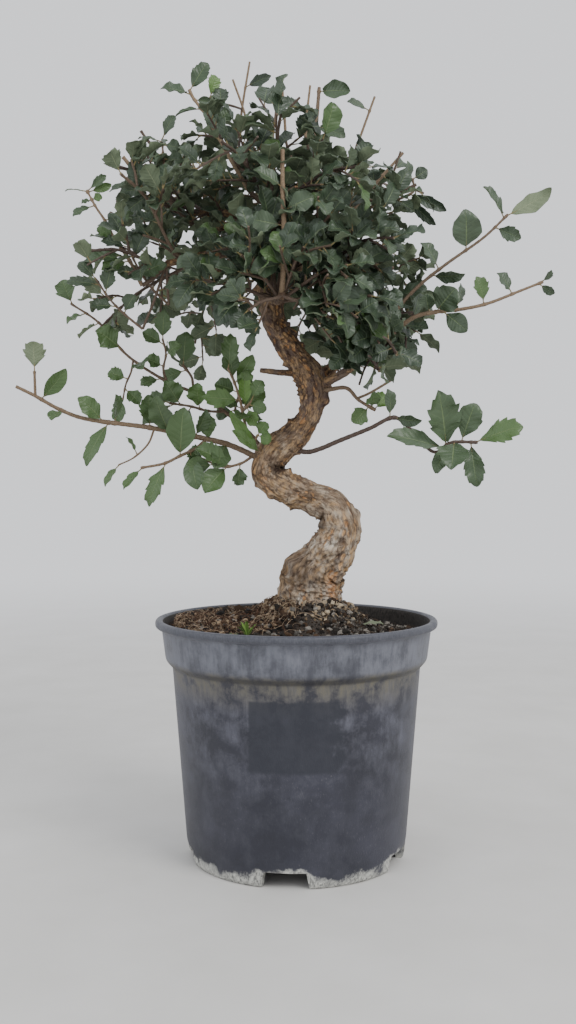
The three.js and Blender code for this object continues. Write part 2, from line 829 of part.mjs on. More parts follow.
// Each spray leaves the wood on a short stub of it, and starts a clear gap past the stub's end.
function makeTree() {
  const wood = makeWood();
  const core = { solid: wood, box: wood.boundingBox() };
  const sprays = allSprays().map(([name, stems]) => [name, growStems(name, stems, core)]);
  const stubs = sprays
    .map(([, [first]]) => first)
    .filter(({ curve, leaving }) => leaving * curve.getLength() > SHORTEST_STUB)
    .map(({ stem, curve, leaving }) => woodSolid(stem, curve, 0, leaving));
  const trunk = joined([wood, ...stubs]);
  keep(trunk, "trunk");
  const meshes = sprays.map(([name, stems]) => {
    const blades = stems.flatMap((stem) => growLeaves(name, stem));
    return meshFrom(joined([...stems.map(({ solid }) => solid), ...blades]), name, leafMaterial);
  });
  return [meshFrom(trunk, "trunk", barkMaterial), ...meshes];
}

function buildBonsai() {
  const bonsai = new THREE.Group();
  const pot = makePot();
  const soil = makeSoil();
  keep(pot, "pot");
  keep(soil, "soil");
  bonsai.add(meshFrom(pot, "pot", potMaterial));
  bonsai.add(meshFrom(soil, "soil", soilMaterial));
  bonsai.add(...makeTree());
  return bonsai;
}

export default buildBonsai();
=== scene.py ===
import math

import bpy
import numpy as np
from mathutils import Matrix, Vector, kdtree, noise


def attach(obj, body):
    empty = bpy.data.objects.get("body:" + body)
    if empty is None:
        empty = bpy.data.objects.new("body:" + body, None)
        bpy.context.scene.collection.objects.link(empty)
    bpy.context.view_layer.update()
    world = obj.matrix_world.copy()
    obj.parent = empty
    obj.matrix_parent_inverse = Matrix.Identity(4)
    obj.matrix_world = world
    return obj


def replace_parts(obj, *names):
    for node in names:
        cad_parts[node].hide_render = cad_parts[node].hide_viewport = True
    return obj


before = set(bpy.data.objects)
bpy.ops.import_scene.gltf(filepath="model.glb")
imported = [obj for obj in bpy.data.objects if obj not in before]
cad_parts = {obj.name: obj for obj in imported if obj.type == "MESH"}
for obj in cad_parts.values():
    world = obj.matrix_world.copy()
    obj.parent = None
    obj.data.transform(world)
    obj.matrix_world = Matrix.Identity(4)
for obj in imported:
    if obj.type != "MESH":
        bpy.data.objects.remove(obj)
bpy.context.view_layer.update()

# Lengths below are millimetres. Meshes are written in metres.
MM = 0.001

# Camera
CAMERA_PLACE = (-5.7, -744.5, 253.0)
CAMERA_PITCH = 0.029
FOCAL_PIXELS = 1100
IMAGE_HEIGHT = 1024
SENSOR = 36.0

# Pot, with the spots where white crust sits thickest
POT_HEIGHT = 160
RIM_RADIUS = 95
LIP_HEIGHT = 5.2
LIP_WIDTH = 4.5
BAND_TOP_RADIUS = 90.6
BAND_BOTTOM_RADIUS = 88.2
BAND_BOTTOM = 134
SHOULDER = 129
SHOULDER_RADIUS = 83.5
FOOT_RADIUS = 71
FOOT_WIDTH = 3.5
FOOT_HEIGHT = 11.5
SEAT_RADIUS = 38
WALL = 1.8
FLOOR_THICKNESS = 2
FLOOR = FOOT_HEIGHT + FLOOR_THICKNESS
NOTCHES = 5
NOTCH_WIDTH = 30
NOTCH_HEIGHT = 10.6
FIRST_NOTCH_DEGREES = -96
CRUST_SPOTS = [(-22.3, -67.4, 9.0), (-12, -73, 11.5), (0, -73, 10.5), (7.5, -70.6, 7.0), (59, -44, 8.0),
               (67, -33, 11.0)]
DRAIN_SIZE = (9, 16)
DRAIN_RADIUS = 56
POT_SEGMENTS = 200

# Soil
SOIL_LEVEL = 152
SOIL_SLOPE = -0.045
MOUND_HEIGHT = 26
MOUND_REACH = 34
SOIL_RADIUS = 86.6
SOIL_SEGMENTS = 220
SOIL_RINGS = 84
SOIL_GAP = 0.4

# Trunk: a line of points with the radius there, from inside the soil to the top of the leader
TRUNK = [
    (10, 0, 132, 21), (10, 0, 158, 21), (10, 0, 177, 20.8), (11, -1, 186, 20), (13, -3, 194, 19.5),
    (19.5, -5, 202, 17.6), (25.5, -7, 210, 15.5), (29, -8, 221, 13.8), (26, -7, 232, 12),
    (20, -5, 237, 12), (11, -2, 241, 11.4), (1, 1, 245, 11.8), (-9, 3, 249, 11.4),
    (-16.5, 5, 254.5, 10.4), (-19.5, 6, 263, 10.4), (-15, 5, 272, 11), (-4, 3, 282, 11.4),
    (5, 0, 291, 10.2), (10, -3, 302, 9.8), (11, -4, 313, 10), (8, -3, 324, 9.9), (2, -1, 335, 9.6),
    (-6, 1, 347, 9), (-13, 2, 358, 8.8), (-17, 2, 372, 8.4), (-20, 2, 392, 7), (-18, 4, 410, 5.4),
    (-13, 2, 430, 4), (-12, 0, 446, 3),
]
TRUNK_SIDES = 112
TRUNK_STEPS = 570
BARK_START = 178
BARK_SIZE = 4.2
WARTS = 230
LIMB_SIDES = 28
LIMB_STEP = 0.9
LIMB_BARK_SIZE = 2.6

# Crown: a rounded box shape about its centre, flatter below
CROWN_CENTRE = np.array([-28.0, 0.0, 388.0])
CROWN_WIDE = 120
CROWN_DEEP = 98
CROWN_UP = 118
CROWN_DOWN = 76
CROWN_ROUNDNESS = 2.6
CROWN_REACH = 1.03

# Limbs that carry the crown, in tiers up the leader
LIMB_REACH = 0.5
TIERS = [
    {"azimuths": (20, 80, 140, 200, 320), "elevation": 6, "trunk_share": (0.865, 0.9), "radius": 4,
     "turns": (-21, 0, 21), "elevations": (-18, 6, 26)},
    {"azimuths": (45, 130, 185, 285), "elevation": 42, "trunk_share": (0.915, 0.96), "radius": 3.3,
     "turns": (-27, 0, 27), "elevations": (38, 52, 30)},
]
TIP_SHARE = 0.9

# The height that leaves by rule reach, from the crown's left to its right
CROWN_LINE_X = [-187, -160, -143, -130, -119, -109, -99, -90, -86, -79, -72, -62, -48, -35, -23, -14, 11,
                23, 33, 46, 60, 70, 90, 101, 138]
CROWN_LINE_Z = [432, 439, 441, 447, 451, 455, 461, 466, 483, 491, 502, 507, 507, 510, 514, 506, 505, 499,
                494, 484, 471, 463, 447, 434, 402]

# Small dents and swellings of the trunk's outline: x, z, size, and the shift in x and z
TRUNK_NUDGES = [(2, 209, 11, 2.6, -2.6), (6, 234, 12, 0.6, 1.7), (9, 256, 14, -0.8, -1.9),
                (-11, 291, 10, 1.7, -1.6), (14, 287, 10, -2.0, 1.3), (-27, 254, 9, -1.2, -0.6),
                (31, 178, 9, -1.3, 0), (44, 226, 10, -0.9, 0), (8, 344, 10, -2.6, -0.8),
                (-1, 360, 11, -3, -1), (-3, 300, 9, 2.2, -1), (17, 302, 8, -1.6, 0.4),
                (-9, 176, 4, -1.6, 0), (-8, 187, 3, -1.8, 0.6), (-4, 197, 3, -1.6, 1.2)]

# Cut twigs that stand up out of the top, by their tips
TOP_FORKS = [
    {"reach": (-38, -6, 460), "tips": ((-32, 12, 531), (-40, -24, 510), (-76, -8, 511))},
    {"reach": (14, 2, 456), "tips": ((-10, 4, 518), (15, -14, 510), (51, 2, 506))},
]
TWIG_RADII = (1.25, 0.85)

# Leaves by rule
LEAF_LENGTH = (15.5, 22)
LEAF_WIDTH_SHARE = 0.58
LEAF_FOLD = 0.22
LEAF_DROOP = 0.09
LEAF_RIPPLE = 0.052
LEAF_TRIES = 6
GOLDEN_TURN = 2.4
LEAFY_TO_THE_TIP = (0.42, 0.58, 0.74, 0.88, 0.99)
BARE_TIP = (0.4, 0.55, 0.7, 0.84)

# Limbs placed one by one: points, then the radius at both ends
OWN_LIMBS = {
    "cut_stub": {"points": [(2, -1, 325), (-10, -5, 325), (-24, -10, 326)], "radii": (2, 1.7)},
    "right_back": {"points": [(9, -3, 317), (23, 4, 328), (37, 16, 345), (52, 26, 362)],
                   "radii": (4.6, 2.4)},
    "right_front": {"points": [(9, -4, 314), (21, -8, 319), (34, -14, 326), (51, -24, 341),
                               (64, -29, 350)], "radii": (3.2, 2.1)},
    "front": {"points": [(-18, 2, 380), (-16, -24, 372), (-12, -48, 366), (-9, -68, 366)],
              "radii": (4, 2.4)},
}


def stem(points, radii, leaves=(), **looks):
    """A stem placed one by one: its points, its radius at both ends, and its leaves, each as (share
    along the stem, tip, width, roll in degrees)."""
    return {"points": points, "radii": radii, "leaves": leaves, **looks}


# Sprays placed one by one
OWN_SPRAYS = {
    "low_left_branch": [
        stem([(-16, 6, 262), (-30, 5, 270), (-46, 2, 277), (-62, -2, 281), (-98, -9, 288),
              (-137, -15, 293), (-155, -19, 299), (-171, -23, 308), (-183, -26, 314)], (2.2, 1.1),
             [(0.9, (-149, -33, 324), 10, 40), (0.82, (-159, -30, 292), 8, 20),
              (0.66, (-142, -24, 307), 11, 15), (0.62, (-118, -22, 309), 9, 70),
              (0.64, (-139, -22, 263), 9, 20), (0.49, (-98, -16, 309), 12, 20),
              (0.42, (-92, -26, 307), 14, -20), (0.32, (-60, -10, 300), 8, 50),
              (0.2, (-54, -16, 261), 12, -25)]),
        stem([(-171, -23, 308), (-171, -24, 316), (-171, -25, 324)], (1, 0.85),
             [(0.98, (-171, -29, 343), 12, 180)]),
        stem([(-60, -2, 281), (-68, -6, 274), (-78, -10, 269), (-88, -14, 264), (-103, -18, 261)],
             (1.2, 0.85),
             [(0.3, (-66, -14, 247), 12, 10), (0.45, (-74, -24, 300), 17, 0),
              (0.66, (-98, -20, 236), 9, 15), (0.97, (-114, -22, 247), 6, 30)]),
        stem([(-30, 4, 269), (-38, -2, 264), (-50, -7, 262), (-62, -9, 267)], (1.0, 0.7),
             [(0.55, (-61, -15, 245), 14, 10), (0.78, (-74, -12, 262), 11, -15),
              (0.5, (-66, -18, 274), 12, 25), (0.98, (-73, -5, 273), 9, 10),
              (0.3, (-40, 2, 249), 9, -30)]),
        stem([(-95, -9, 287), (-99, -10, 277), (-108, -13, 268), (-118, -15, 263)], (0.8, 0.5),
             [(0.6, (-113, -12, 282), 4, 60), (0.98, (-127, -18, 249), 6, 40)]),
    ],
    "left_upright_shoot": [
        stem([(-17, 2, 266), (-28, -4, 275), (-33, -5, 285), (-37, -6, 303), (-40, -6, 314),
              (-46, -4, 328)], (1.2, 0.7),
             [(0.99, (-44, -7, 351), 10, 10), (0.84, (-29, -12, 336), 9, 30),
              (0.68, (-62, -14, 308), 11, -15), (0.74, (-32, -14, 325), 9, 25),
              (0.6, (-21, -3, 313), 9, 10), (0.5, (-24, 3, 296), 9, -30), (0.56, (-37, -20, 293), 10, -10),
              (0.6, (-54, 5, 305), 9, 45), (0.12, (-42, -14, 286), 7, 10),
              (0.2, (-44, -16, 298), 7, -20)]),
        stem([(-36, -5, 299), (-34, -8, 301), (-32, -10, 303), (-30, -11, 306)], (0.8, 0.6),
             [(0.3, (-35, -12, 322), 8, 10), (0.98, (-23, -14, 319), 9, -10),
              (0.7, (-20, -14, 300), 8, 20), (0.5, (-27, -14, 289), 8, 15)]),
        stem([(-29, -4, 276), (-28, -6, 279), (-27, -8, 281), (-26, -10, 283)], (0.8, 0.6),
             [(0.9, (-20, -15, 291), 8, 0), (0.95, (-17, -14, 280), 8, 20)]),
    ],
    "left_thin_branch": [
        stem([(-17, 9, 266), (-26, 14, 278), (-36, 13, 289), (-62, 9, 309), (-88, 4, 320), (-114, 0, 337),
              (-132, -4, 358), (-151, -6, 371)], (1.5, 0.7),
             [(0.55, (-105, -2, 317), 8, 20), (0.66, (-102, -12, 328), 10, -10),
              (0.74, (-132, -14, 352), 14, 10), (0.8, (-119, 6, 368), 13, 180),
              (0.87, (-147, 2, 349), 8, 60), (0.93, (-152, -14, 357), 7, 45),
              (0.99, (-156, -9, 386), 11, -10)]),
        stem([(-62, 9, 309), (-70, 12, 316), (-72, 13, 324), (-78, 13, 332)], (1.1, 0.85),
             [(0.98, (-75, 8, 354), 13, 0), (0.85, (-93, 18, 322), 10, 15),
              (0.9, (-90, 14, 347), 9, -20)]),
        stem([(-50, 11, 300), (-60, 6, 300), (-72, 2, 303), (-86, 0, 305)], (1.0, 0.7),
             [(0.3, (-59, -6, 283), 10, 10), (0.45, (-67, -3, 318), 11, -20),
              (0.6, (-80, -4, 287), 12, 10), (0.8, (-88, -8, 319), 13, 0), (0.9, (-104, -2, 291), 10, 15),
              (0.98, (-101, 6, 310), 9, -15)]),
        stem([(-88, 4, 320), (-90, 2, 328), (-88, 0, 338), (-90, -2, 348)], (0.9, 0.6),
             [(0.35, (-101, -6, 334), 9, 10), (0.6, (-78, -8, 344), 10, -15),
              (0.85, (-103, -6, 352), 9, 10), (0.98, (-88, -10, 366), 10, 0)]),
        stem([(-40, 13, 292), (-42, 15, 302), (-40, 14, 312), (-43, 12, 322)], (0.9, 0.6),
             [(0.3, (-56, 18, 298), 10, 10), (0.5, (-26, 16, 307), 10, -15), (0.7, (-56, 12, 319), 11, 10),
              (0.98, (-46, 8, 340), 11, 0)]),
        stem([(-110, 0, 334), (-112, 3, 326), (-116, 6, 318), (-118, 6, 308)], (0.8, 0.55),
             [(0.5, (-128, 4, 326), 9, 10), (0.75, (-106, 2, 305), 9, -15),
              (0.98, (-122, 4, 292), 9, 10)]),
    ],
    "low_right_branch": [
        stem([(-8, 4, 276), (6, -2, 272), (16, -8, 274), (28, -12, 279), (48, -17, 287), (64, -22, 294),
              (75, -27, 285), (83, -32, 275), (90, -36, 271), (99, -40, 277), (115, -44, 277)],
             (1.75, 0.9),
             [(0.84, (57, -50, 281), 13, 25), (0.86, (89, -52, 309), 18, 5),
              (0.93, (112, -50, 301), 14, -10), (0.99, (141, -55, 287), 13, -10),
              (0.87, (88, -48, 258), 9, 20), (0.9, (96, -60, 260), 17, 10),
              (0.97, (114, -48, 249), 11, 15), (0.55, (80, -34, 291), 7, 50),
              (0.53, (60, -27, 312), 8, 30)]),
    ],
    "right_twig": [
        stem([(9, -6, 313), (20, -10, 313), (33, -13, 314), (41, -15, 306), (52, -18, 299)], (1.8, 0.9),
             [(0.98, (60, -10, 309), 11, 10), (0.9, (37, -23, 291), 10, -20),
              (0.94, (50, -28, 309), 9, 20)]),
        stem([(40, -15, 307), (49, -13, 311), (64, -10, 320)], (0.9, 0.85)),
    ],
    "right_low_shoot": [
        stem([(62, -28, 349), (76, -33, 358), (89, -34, 361), (107, -34, 363), (124, -33, 367),
              (144, -31, 375), (159, -30, 381)], (1.5, 0.8),
             [(0.99, (164, -33, 388), 5, 60), (0.97, (166, -32, 373), 5, 45),
              (0.79, (129, -36, 386), 9, 30), (0.6, (115, -38, 383), 9, 20),
              (0.42, (107, -30, 380), 7, 60), (0.3, (100, -46, 374), 16, 0),
              (0.34, (108, -42, 348), 11, 15), (0.26, (82, -42, 371), 9, 15)]),
    ],
    "right_high_shoot": [
        stem([(54, -25, 343), (64, -24, 362), (78, -25, 378), (97, -28, 393), (120, -30, 409),
              (136, -31, 424)], (1.4, 0.75),
             [(0.99, (163, -36, 438), 11, 175), (0.97, (119, -38, 440), 8, 35),
              (0.9, (142, -40, 407), 8, 30), (0.7, (107, -42, 424), 17, 5), (0.52, (81, -33, 406), 10, 35),
              (0.47, (107, -38, 384), 8, 60)]),
    ],
    "front_shoot": [
        stem([(-10, -62, 366), (-9, -71, 374), (-8, -74, 400), (-9, -76, 430), (-9, -76, 452)],
             (1.8, 1.25),
             [(0.25, (-28, -80, 378), 12, 0), (0.35, (12, -82, 388), 12, 10),
              (0.5, (-28, -78, 410), 11, -20), (0.6, (10, -76, 424), 11, 10),
              (0.75, (-26, -84, 438), 10, 20)]),
    ],
}

# Shoots that stand out of the crown's rim. Warm runs from dark to tan bark and fresh from old to
# young leaves. One with a node's name is the shape of that spray's stem.
RIM_SHOOTS = [
    stem([(-101, -20, 352), (-112, -21, 361), (-122, -22, 371), (-131, -22, 384)], (0.9, 0.6),
         [(0.98, (-142, -22, 396), 8, 10), (0.9, (-150, -24, 382), 7, 20), (0.75, (-120, -28, 391), 9, 0),
          (0.5, (-134, -26, 366), 8, 15), (0.35, (-105, -28, 373), 9, -10)], warm=0.4, fresh=0.1),
    stem([(-84, -18, 368), (-96, -20, 380), (-106, -22, 396), (-112, -22, 412)], (0.9, 0.6),
         [(0.98, (-122, -24, 427), 8, 10), (0.85, (-127, -26, 409), 8, 20), (0.7, (-96, -28, 418), 10, 0),
          (0.45, (-116, -28, 388), 9, 15)], warm=0.4, fresh=0.05),
    stem([(-31, -42, 437), (-43, -40, 458), (-57, -36, 484), (-66, -33, 497), (-69, -32, 503)], (1.4, 0.9),
         [(0.95, (-87, -36, 503), 9, 30), (0.99, (-57, -33, 520), 9, 5), (0.9, (-54, -33, 495), 5, 30),
          (0.8, (-78, -31, 487), 6, 40),
          (0.6, (-42, -38, 489), 9, 15)], node="spray_30", warm=0.95, fresh=0.15),
    stem([(-57, -36, 484), (-56, -33, 492), (-56, -32, 497)], (0.8, 0.6),
         [(0.99, (-52, -31, 513), 7, 30)], warm=0.9, fresh=1.0),
    stem([(-48, -37, 470), (-49, -35, 480), (-49, -33, 488)], (0.9, 0.6),
         [(0.99, (-49, -33, 504), 8.5, 10)], warm=0.8, fresh=0.0),
    stem([(-85, -18, 443), (-87, -18, 461), (-88, -18, 474), (-88, -18, 476)], (1.0, 0.6),
         [(0.99, (-80, -20, 491), 7.5, -10), (0.94, (-104, -16, 478), 4, 50),
          (0.72, (-97, -22, 461), 9, 10), (0.88, (-76, -20, 470), 8, 10),
          (0.6, (-74, -22, 461), 9, 0)], warm=0.5, fresh=0.15),
    stem([(-69, -12, 421), (-86, -14, 440), (-97, -16, 456), (-100, -16, 460)], (1.7, 1.4),
         [(0.7, (-104, -24, 452), 10, 0), (0.75, (-90, -22, 458), 8, 20), (0.5, (-98, -22, 430), 9, -10),
          (0.35, (-73, -24, 433), 9, 10)], warm=0.35, fresh=0.05),
    stem([(-93, -14, 440), (-104, -15, 453), (-114, -16, 465)], (1.5, 1.3),
         [(0.5, (-121, -18, 458), 5, 40), (0.4, (-123, -18, 443), 5, 20), (0.15, (-115, -22, 441), 10, 0),
          (0.1, (-112, -20, 428), 9, -15)], warm=0.85, fresh=0.05),
    stem([(-101, -22, 380), (-109, -22, 396), (-118, -22, 409), (-125, -22, 422), (-131, -22, 431),
          (-137, -21, 442)], (1.4, 0.6),
         [(0.99, (-124, -24, 451), 5, 20), (0.98, (-121, -20, 446), 5, 40),
          (0.985, (-151, -22, 442), 3.4, 60), (0.9, (-140, -24, 433), 4, 30),
          (0.9, (-127, -22, 438), 5, 10), (0.84, (-146, -23, 425), 6, 30), (0.68, (-106, -24, 426), 6, 30),
          (0.5, (-130, -24, 417), 8, 10), (0.3, (-140, -22, 396), 10, 20), (0.25, (-127, -26, 390), 9, 0),
          (0.1, (-85, -30, 393), 10, 0)], warm=0.85, fresh=0.2),
    stem([(-38, -10, 480), (-36, -10, 499), (-31, -10, 529)], (0.9, 0.7),
         [(0.66, (-17, -16, 518), 6, 20)], node="spray_28", warm=0.85, fresh=0.0),
    stem([(-32, -14, 475), (-34, -14, 493), (-42, -14, 516)], (0.9, 0.7), node="spray_29", warm=0.95,
         fresh=0.0),
    stem([(-16, -12, 473), (-15, -12, 485), (-11, -12, 519)], (0.8, 0.7),
         [(0.55, (-25, -16, 509), 9, 10)], warm=0.6, fresh=0.0),
    stem([(-7, -8, 477), (-8, -8, 493), (-10, -8, 519)], (1.0, 0.85), node="spray_31", warm=0.9,
         fresh=0.0),
    stem([(6, -6, 481), (7, -6, 497), (9, -6, 515)], (0.9, 0.75),
         [(0.5, (-12, -14, 502), 7, 10)], warm=0.95, fresh=0.0),
    stem([(12, -8, 474), (13, -8, 488), (15, -8, 513)], (1.5, 1.15),
         [(0.93, (35, -16, 508), 10.5, 10),
          (0.35, (32, -14, 479), 9, 0)], node="spray_32", warm=0.6, fresh=0.1),
    stem([(36, -5, 465), (40, -5, 475), (52, -5, 508)], (0.9, 0.75),
         [(0.78, (34, -10, 504), 6, 20),
          (0.25, (44, -12, 477), 9, 0)], node="spray_33", warm=0.8, fresh=0.0),
    stem([(37, -5, 432), (45, -5, 442), (71, -5, 471)], (1.2, 0.95),
         [(0.6, (74, -12, 443), 10, 10), (0.45, (50, -14, 457), 9, 0)], warm=0.75, fresh=0.0),
    stem([(59, -5, 437), (77, -8, 444), (77, -8, 453)], (1.0, 0.7),
         [(0.98, (70, -8, 459), 6, 0), (0.985, (87, -8, 459), 8, 10), (0.6, (99, -12, 431), 6.5, 20),
          (0.5, (92, -10, 422), 6, 40), (0.3, (77, -14, 430), 9, 0)], warm=0.5, fresh=0.0),
]

# Sprays on the two right limbs that fill the crown's low right side, by their tips
RIGHT_SIDE_SPRAYS = [
    ("right_back", 0.6, (70, 22, 338)),
    ("right_back", 0.98, (88, 52, 372)),
    ("right_front", 0.62, (52, -46, 322)),
    ("right_front", 0.84, (62, -58, 331)),
]

# Fine leaves
BLADE = 0.7
LEAF_SKIN = 0.32
PETIOLE_LENGTH = 3.2
PETIOLE_RADIUS = 0.42
LEAF_COLUMNS = 7
PLACED_WIDTH_SCALE = 1.16
INNER_COLUMNS = 5
LIMB_LEAF_COLUMNS = 3
SIDE_TWIGS = (0.22, 0.37, 0.51, 0.65, 0.79, 0.92)
SIDE_TWIG_LENGTH = (15, 29)
SIDE_TWIG_LEAVES = (0.36, 0.56, 0.74, 0.88, 0.99)
SIDE_LEAF_LENGTH = (14, 22.5)
SIDE_TWIG_RADII = (0.8, 0.5)
THICK_TWIG = 1.4
THIN_TWIG = 0.82
BUD_LIFT = (0, 0, 6)

# The bare top of the trunk's line, which no leaf by rule hides
BARE_TRUNK_Z = [300, 310, 324, 335, 347, 358, 372]
BARE_TRUNK_X = [4, 9, 9, 2, -6, -13, -17]
BARE_TRUNK_REACH = 15
BARE_TRUNK_TOP = 377

# How far left the crown starts to open, where it is most open, and the share of leaves gone there
OPEN_SIDE = (72, 128)
OPEN_SHARE = 0.72

# How young the leaves of the sprays placed one by one are, and how tan their bark
FRESHNESS = {"left_upright_shoot": 0.75, "right_twig": 0.8, "left_thin_branch": 0.42,
             "low_left_branch": 0.42, "low_right_branch": 0.15}
WARMTH = {"low_left_branch": 0.75, "left_upright_shoot": 0.95, "left_thin_branch": 0.5,
          "low_right_branch": 0.12, "right_twig": 0.7, "right_low_shoot": 0.75, "right_high_shoot": 0.55,
          "front_shoot": 0.9}

# Leafy stems in front of the limbs and among them: the limb, the share along it where
# the stem leaves, and the stem's tip
INNER_STEMS = [
    ("front", 0.98, (20, -72, 352)), ("front", 0.98, (-30, -74, 356)), ("front", 0.9, (4, -84, 392)),
    ("front", 0.85, (30, -80, 382)), ("front", 0.85, (-34, -80, 388)), ("front", 0.7, (-56, -62, 374)),
    ("front", 0.7, (46, -64, 366)), ("front", 0.6, (-18, -66, 412)), ("front", 0.6, (20, -62, 416)),
    ("front", 0.5, (0, -46, 432)), ("front", 0.45, (-46, -48, 404)), ("front", 0.5, (52, -44, 398)),
    ("right_front", 0.5, (30, -54, 334)), ("right_front", 0.7, (40, -62, 350)),
    ("right_back", 0.5, (28, 40, 344)), ("right_back", 0.7, (60, 54, 356)),
]

# A whole turn in radians, near enough for strewn bits
TURN = 6.28

# Stage
SURROUND = (0.95, 0.965, 1.0)
SURROUND_STRENGTH = 1.15
FLOOR_HALF_METRES = 3.2


def draw(count, kind):
    """A draw between 0 and 1 that is always the same for the same two counts."""
    value = math.sin(count * 12.9898 + kind * 78.233) * 43758.5453
    return value - math.floor(value)


def unit(vector):
    vector = np.asarray(vector, float)
    return vector / np.linalg.norm(vector)


def drawn(limits, count, kind):
    low, high = limits
    return low + (high - low) * draw(count, kind)


def smoothstep(value, low, high):
    share = np.clip((value - low) / (high - low), 0, 1)
    return share * share * (3 - 2 * share)


def turned_about(vector, axis, degrees):
    return np.array(Matrix.Rotation(math.radians(degrees), 3, Vector(axis)) @ Vector(vector))


# Curves


class Curve:
    """A smooth line through points, read by the share of its length."""

    DIVISIONS = 200
    STEP = 1e-4

    def __init__(self, points, reference=None):
        places = np.array([point[:3] for point in points], float)
        first = 2 * places[0] - places[1]
        last = 2 * places[-1] - places[-2]
        self.spans = len(places) - 1
        self.padded = np.vstack([first, places, last])
        rungs = self.at(np.linspace(0, 1, self.DIVISIONS + 1))
        hops = np.linalg.norm(np.diff(rungs, axis=0), axis=1)
        self.lengths = np.concatenate([[0], np.cumsum(hops)])
        self.length = self.lengths[-1]
        chord = np.abs(places[-1] - places[0])
        self.reference = np.eye(3)[int(np.argmin(chord))] if reference is None else np.array(reference)

    def at(self, parameter):
        place = np.clip(np.atleast_1d(parameter), 0, 1) * self.spans
        lower = np.minimum(place.astype(int), self.spans - 1)
        along = (place - lower)[:, None]
        before, start, end, after = (self.padded[lower + i] for i in range(4))
        leave = (end - before) / 2
        arrive = (after - start) / 2
        square = -3 * start + 3 * end - 2 * leave - arrive
        cube = 2 * start - 2 * end + leave + arrive
        return start + leave * along + square * along**2 + cube * along**3

    def parameter(self, share):
        rungs = np.linspace(0, 1, self.DIVISIONS + 1)
        return np.interp(np.atleast_1d(share) * self.length, self.lengths, rungs)

    def points(self, share):
        return self.at(self.parameter(share))

    def frames(self, share):
        """The points at these shares, with the line's direction and two across it."""
        parameter = self.parameter(share)
        low = np.clip(parameter - self.STEP, 0, 1)
        high = np.clip(parameter + self.STEP, 0, 1)
        along = self.at(high) - self.at(low)
        along /= np.linalg.norm(along, axis=1)[:, None]
        side = np.cross(along, self.reference)
        side /= np.linalg.norm(side, axis=1)[:, None]
        return self.at(parameter), along, side, np.cross(along, side)


# Meshes


class Shape:
    """Vertices, faces and what their materials read, gathered from many small pieces."""

    def __init__(self):
        self.vertices = []
        self.faces = []
        self.materials = []
        self.places = []
        self.tones = []
        self.stems = []
        self.count = 0

    def add(self, vertices, faces, material=0, places=None, tone=(0, 0, 0), stem=None):
        vertices = np.asarray(vertices, float).reshape(-1, 3)
        total = len(vertices)
        self.vertices.append(vertices)
        self.faces.extend([tuple(self.count + i for i in face) for face in faces])
        self.materials.extend([material] * len(faces))
        self.places.append(np.zeros((total, 2)) if places is None else np.asarray(places, float))
        tone = np.asarray(tone, float)
        self.tones.append(np.tile(tone, (total, 1)) if tone.ndim == 1 else tone)
        self.stems.append(np.zeros((total, 3)) if stem is None else np.asarray(stem, float))
        self.count += total

    def make(self, name, materials, smooth_degrees=40):
        mesh = bpy.data.meshes.new(name)
        mesh.from_pydata((np.vstack(self.vertices) * MM).tolist(), [], self.faces)
        for material in materials:
            mesh.materials.append(material)
        mesh.polygons.foreach_set("material_index", self.materials)
        corners = np.zeros(len(mesh.loops), int)
        mesh.loops.foreach_get("vertex_index", corners)
        uv = mesh.uv_layers.new(name="leaf_place")
        uv.data.foreach_set("uv", np.vstack(self.places)[corners].ravel())
        tones = np.hstack([np.vstack(self.tones), np.ones((self.count, 1))])
        colour = mesh.color_attributes.new("tone", "FLOAT_COLOR", "POINT")
        colour.data.foreach_set("color", tones.ravel())
        stem = mesh.attributes.new("stem_place", "FLOAT_VECTOR", "POINT")
        stem.data.foreach_set("vector", np.vstack(self.stems).ravel())
        mesh.polygons.foreach_set("use_smooth", [True] * len(mesh.polygons))
        mesh.set_sharp_from_angle(angle=math.radians(smooth_degrees))
        mesh.update()
        piece = bpy.data.objects.new(name, mesh)
        bpy.context.scene.collection.objects.link(piece)
        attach(piece, "root")
        return piece


def ring_faces(rings, sides):
    """Quads between rings of points, with a fan over both ends round their last two points."""
    faces = [(i * sides + j, i * sides + k, (i + 1) * sides + k, (i + 1) * sides + j)
             for i in range(rings - 1) for j, k in round_pairs(sides)]
    start = rings * sides
    top = start - sides
    for j, k in round_pairs(sides):
        faces += [(start, k, j), (start + 1, top + j, top + k)]
    return faces


def round_pairs(count):
    """Each number below a count with the next one, the last with the first."""
    return [(i, (i + 1) % count) for i in range(count)]


def grid_faces(rows, columns):
    """Quads between the rows of a grid of points."""
    corners = [i * columns + j for i in range(rows - 1) for j in range(columns - 1)]
    return [(a, a + 1, a + columns + 1, a + columns) for a in corners]


def tube(curve, radii, sides, steps):
    """The points and faces of a round stem, its radius given for each ring or each point."""
    shares = np.linspace(0, 1, steps + 1)
    points, _, side, across = curve.frames(shares)
    angles = np.linspace(0, 2 * math.pi, sides, endpoint=False)
    radii = np.broadcast_to(np.asarray(radii, float).reshape(steps + 1, -1), (steps + 1, sides))
    rings = (points[:, None] + across[:, None] * (radii * np.cos(angles))[..., None]
             + side[:, None] * (radii * np.sin(angles))[..., None])
    ends = np.array([points[0], points[-1]])
    return np.vstack([rings.reshape(-1, 3), ends]), ring_faces(steps + 1, sides)


def ellipsoid(centre, axes, sides, rings):
    """A small closed lump with three half axes, as rows of a 3 by 3 array."""
    polar = np.linspace(0, math.pi, rings + 2)[1:-1]
    angles = np.linspace(0, 2 * math.pi, sides, endpoint=False)
    points = [
        math.sin(p) * math.cos(a) * axes[0] + math.sin(p) * math.sin(a) * axes[1] - math.cos(p) * axes[2]
        for p in polar for a in angles
    ]
    points += [-axes[2], axes[2]]
    return np.array(points) + centre, ring_faces(rings, sides)


# Shader helpers


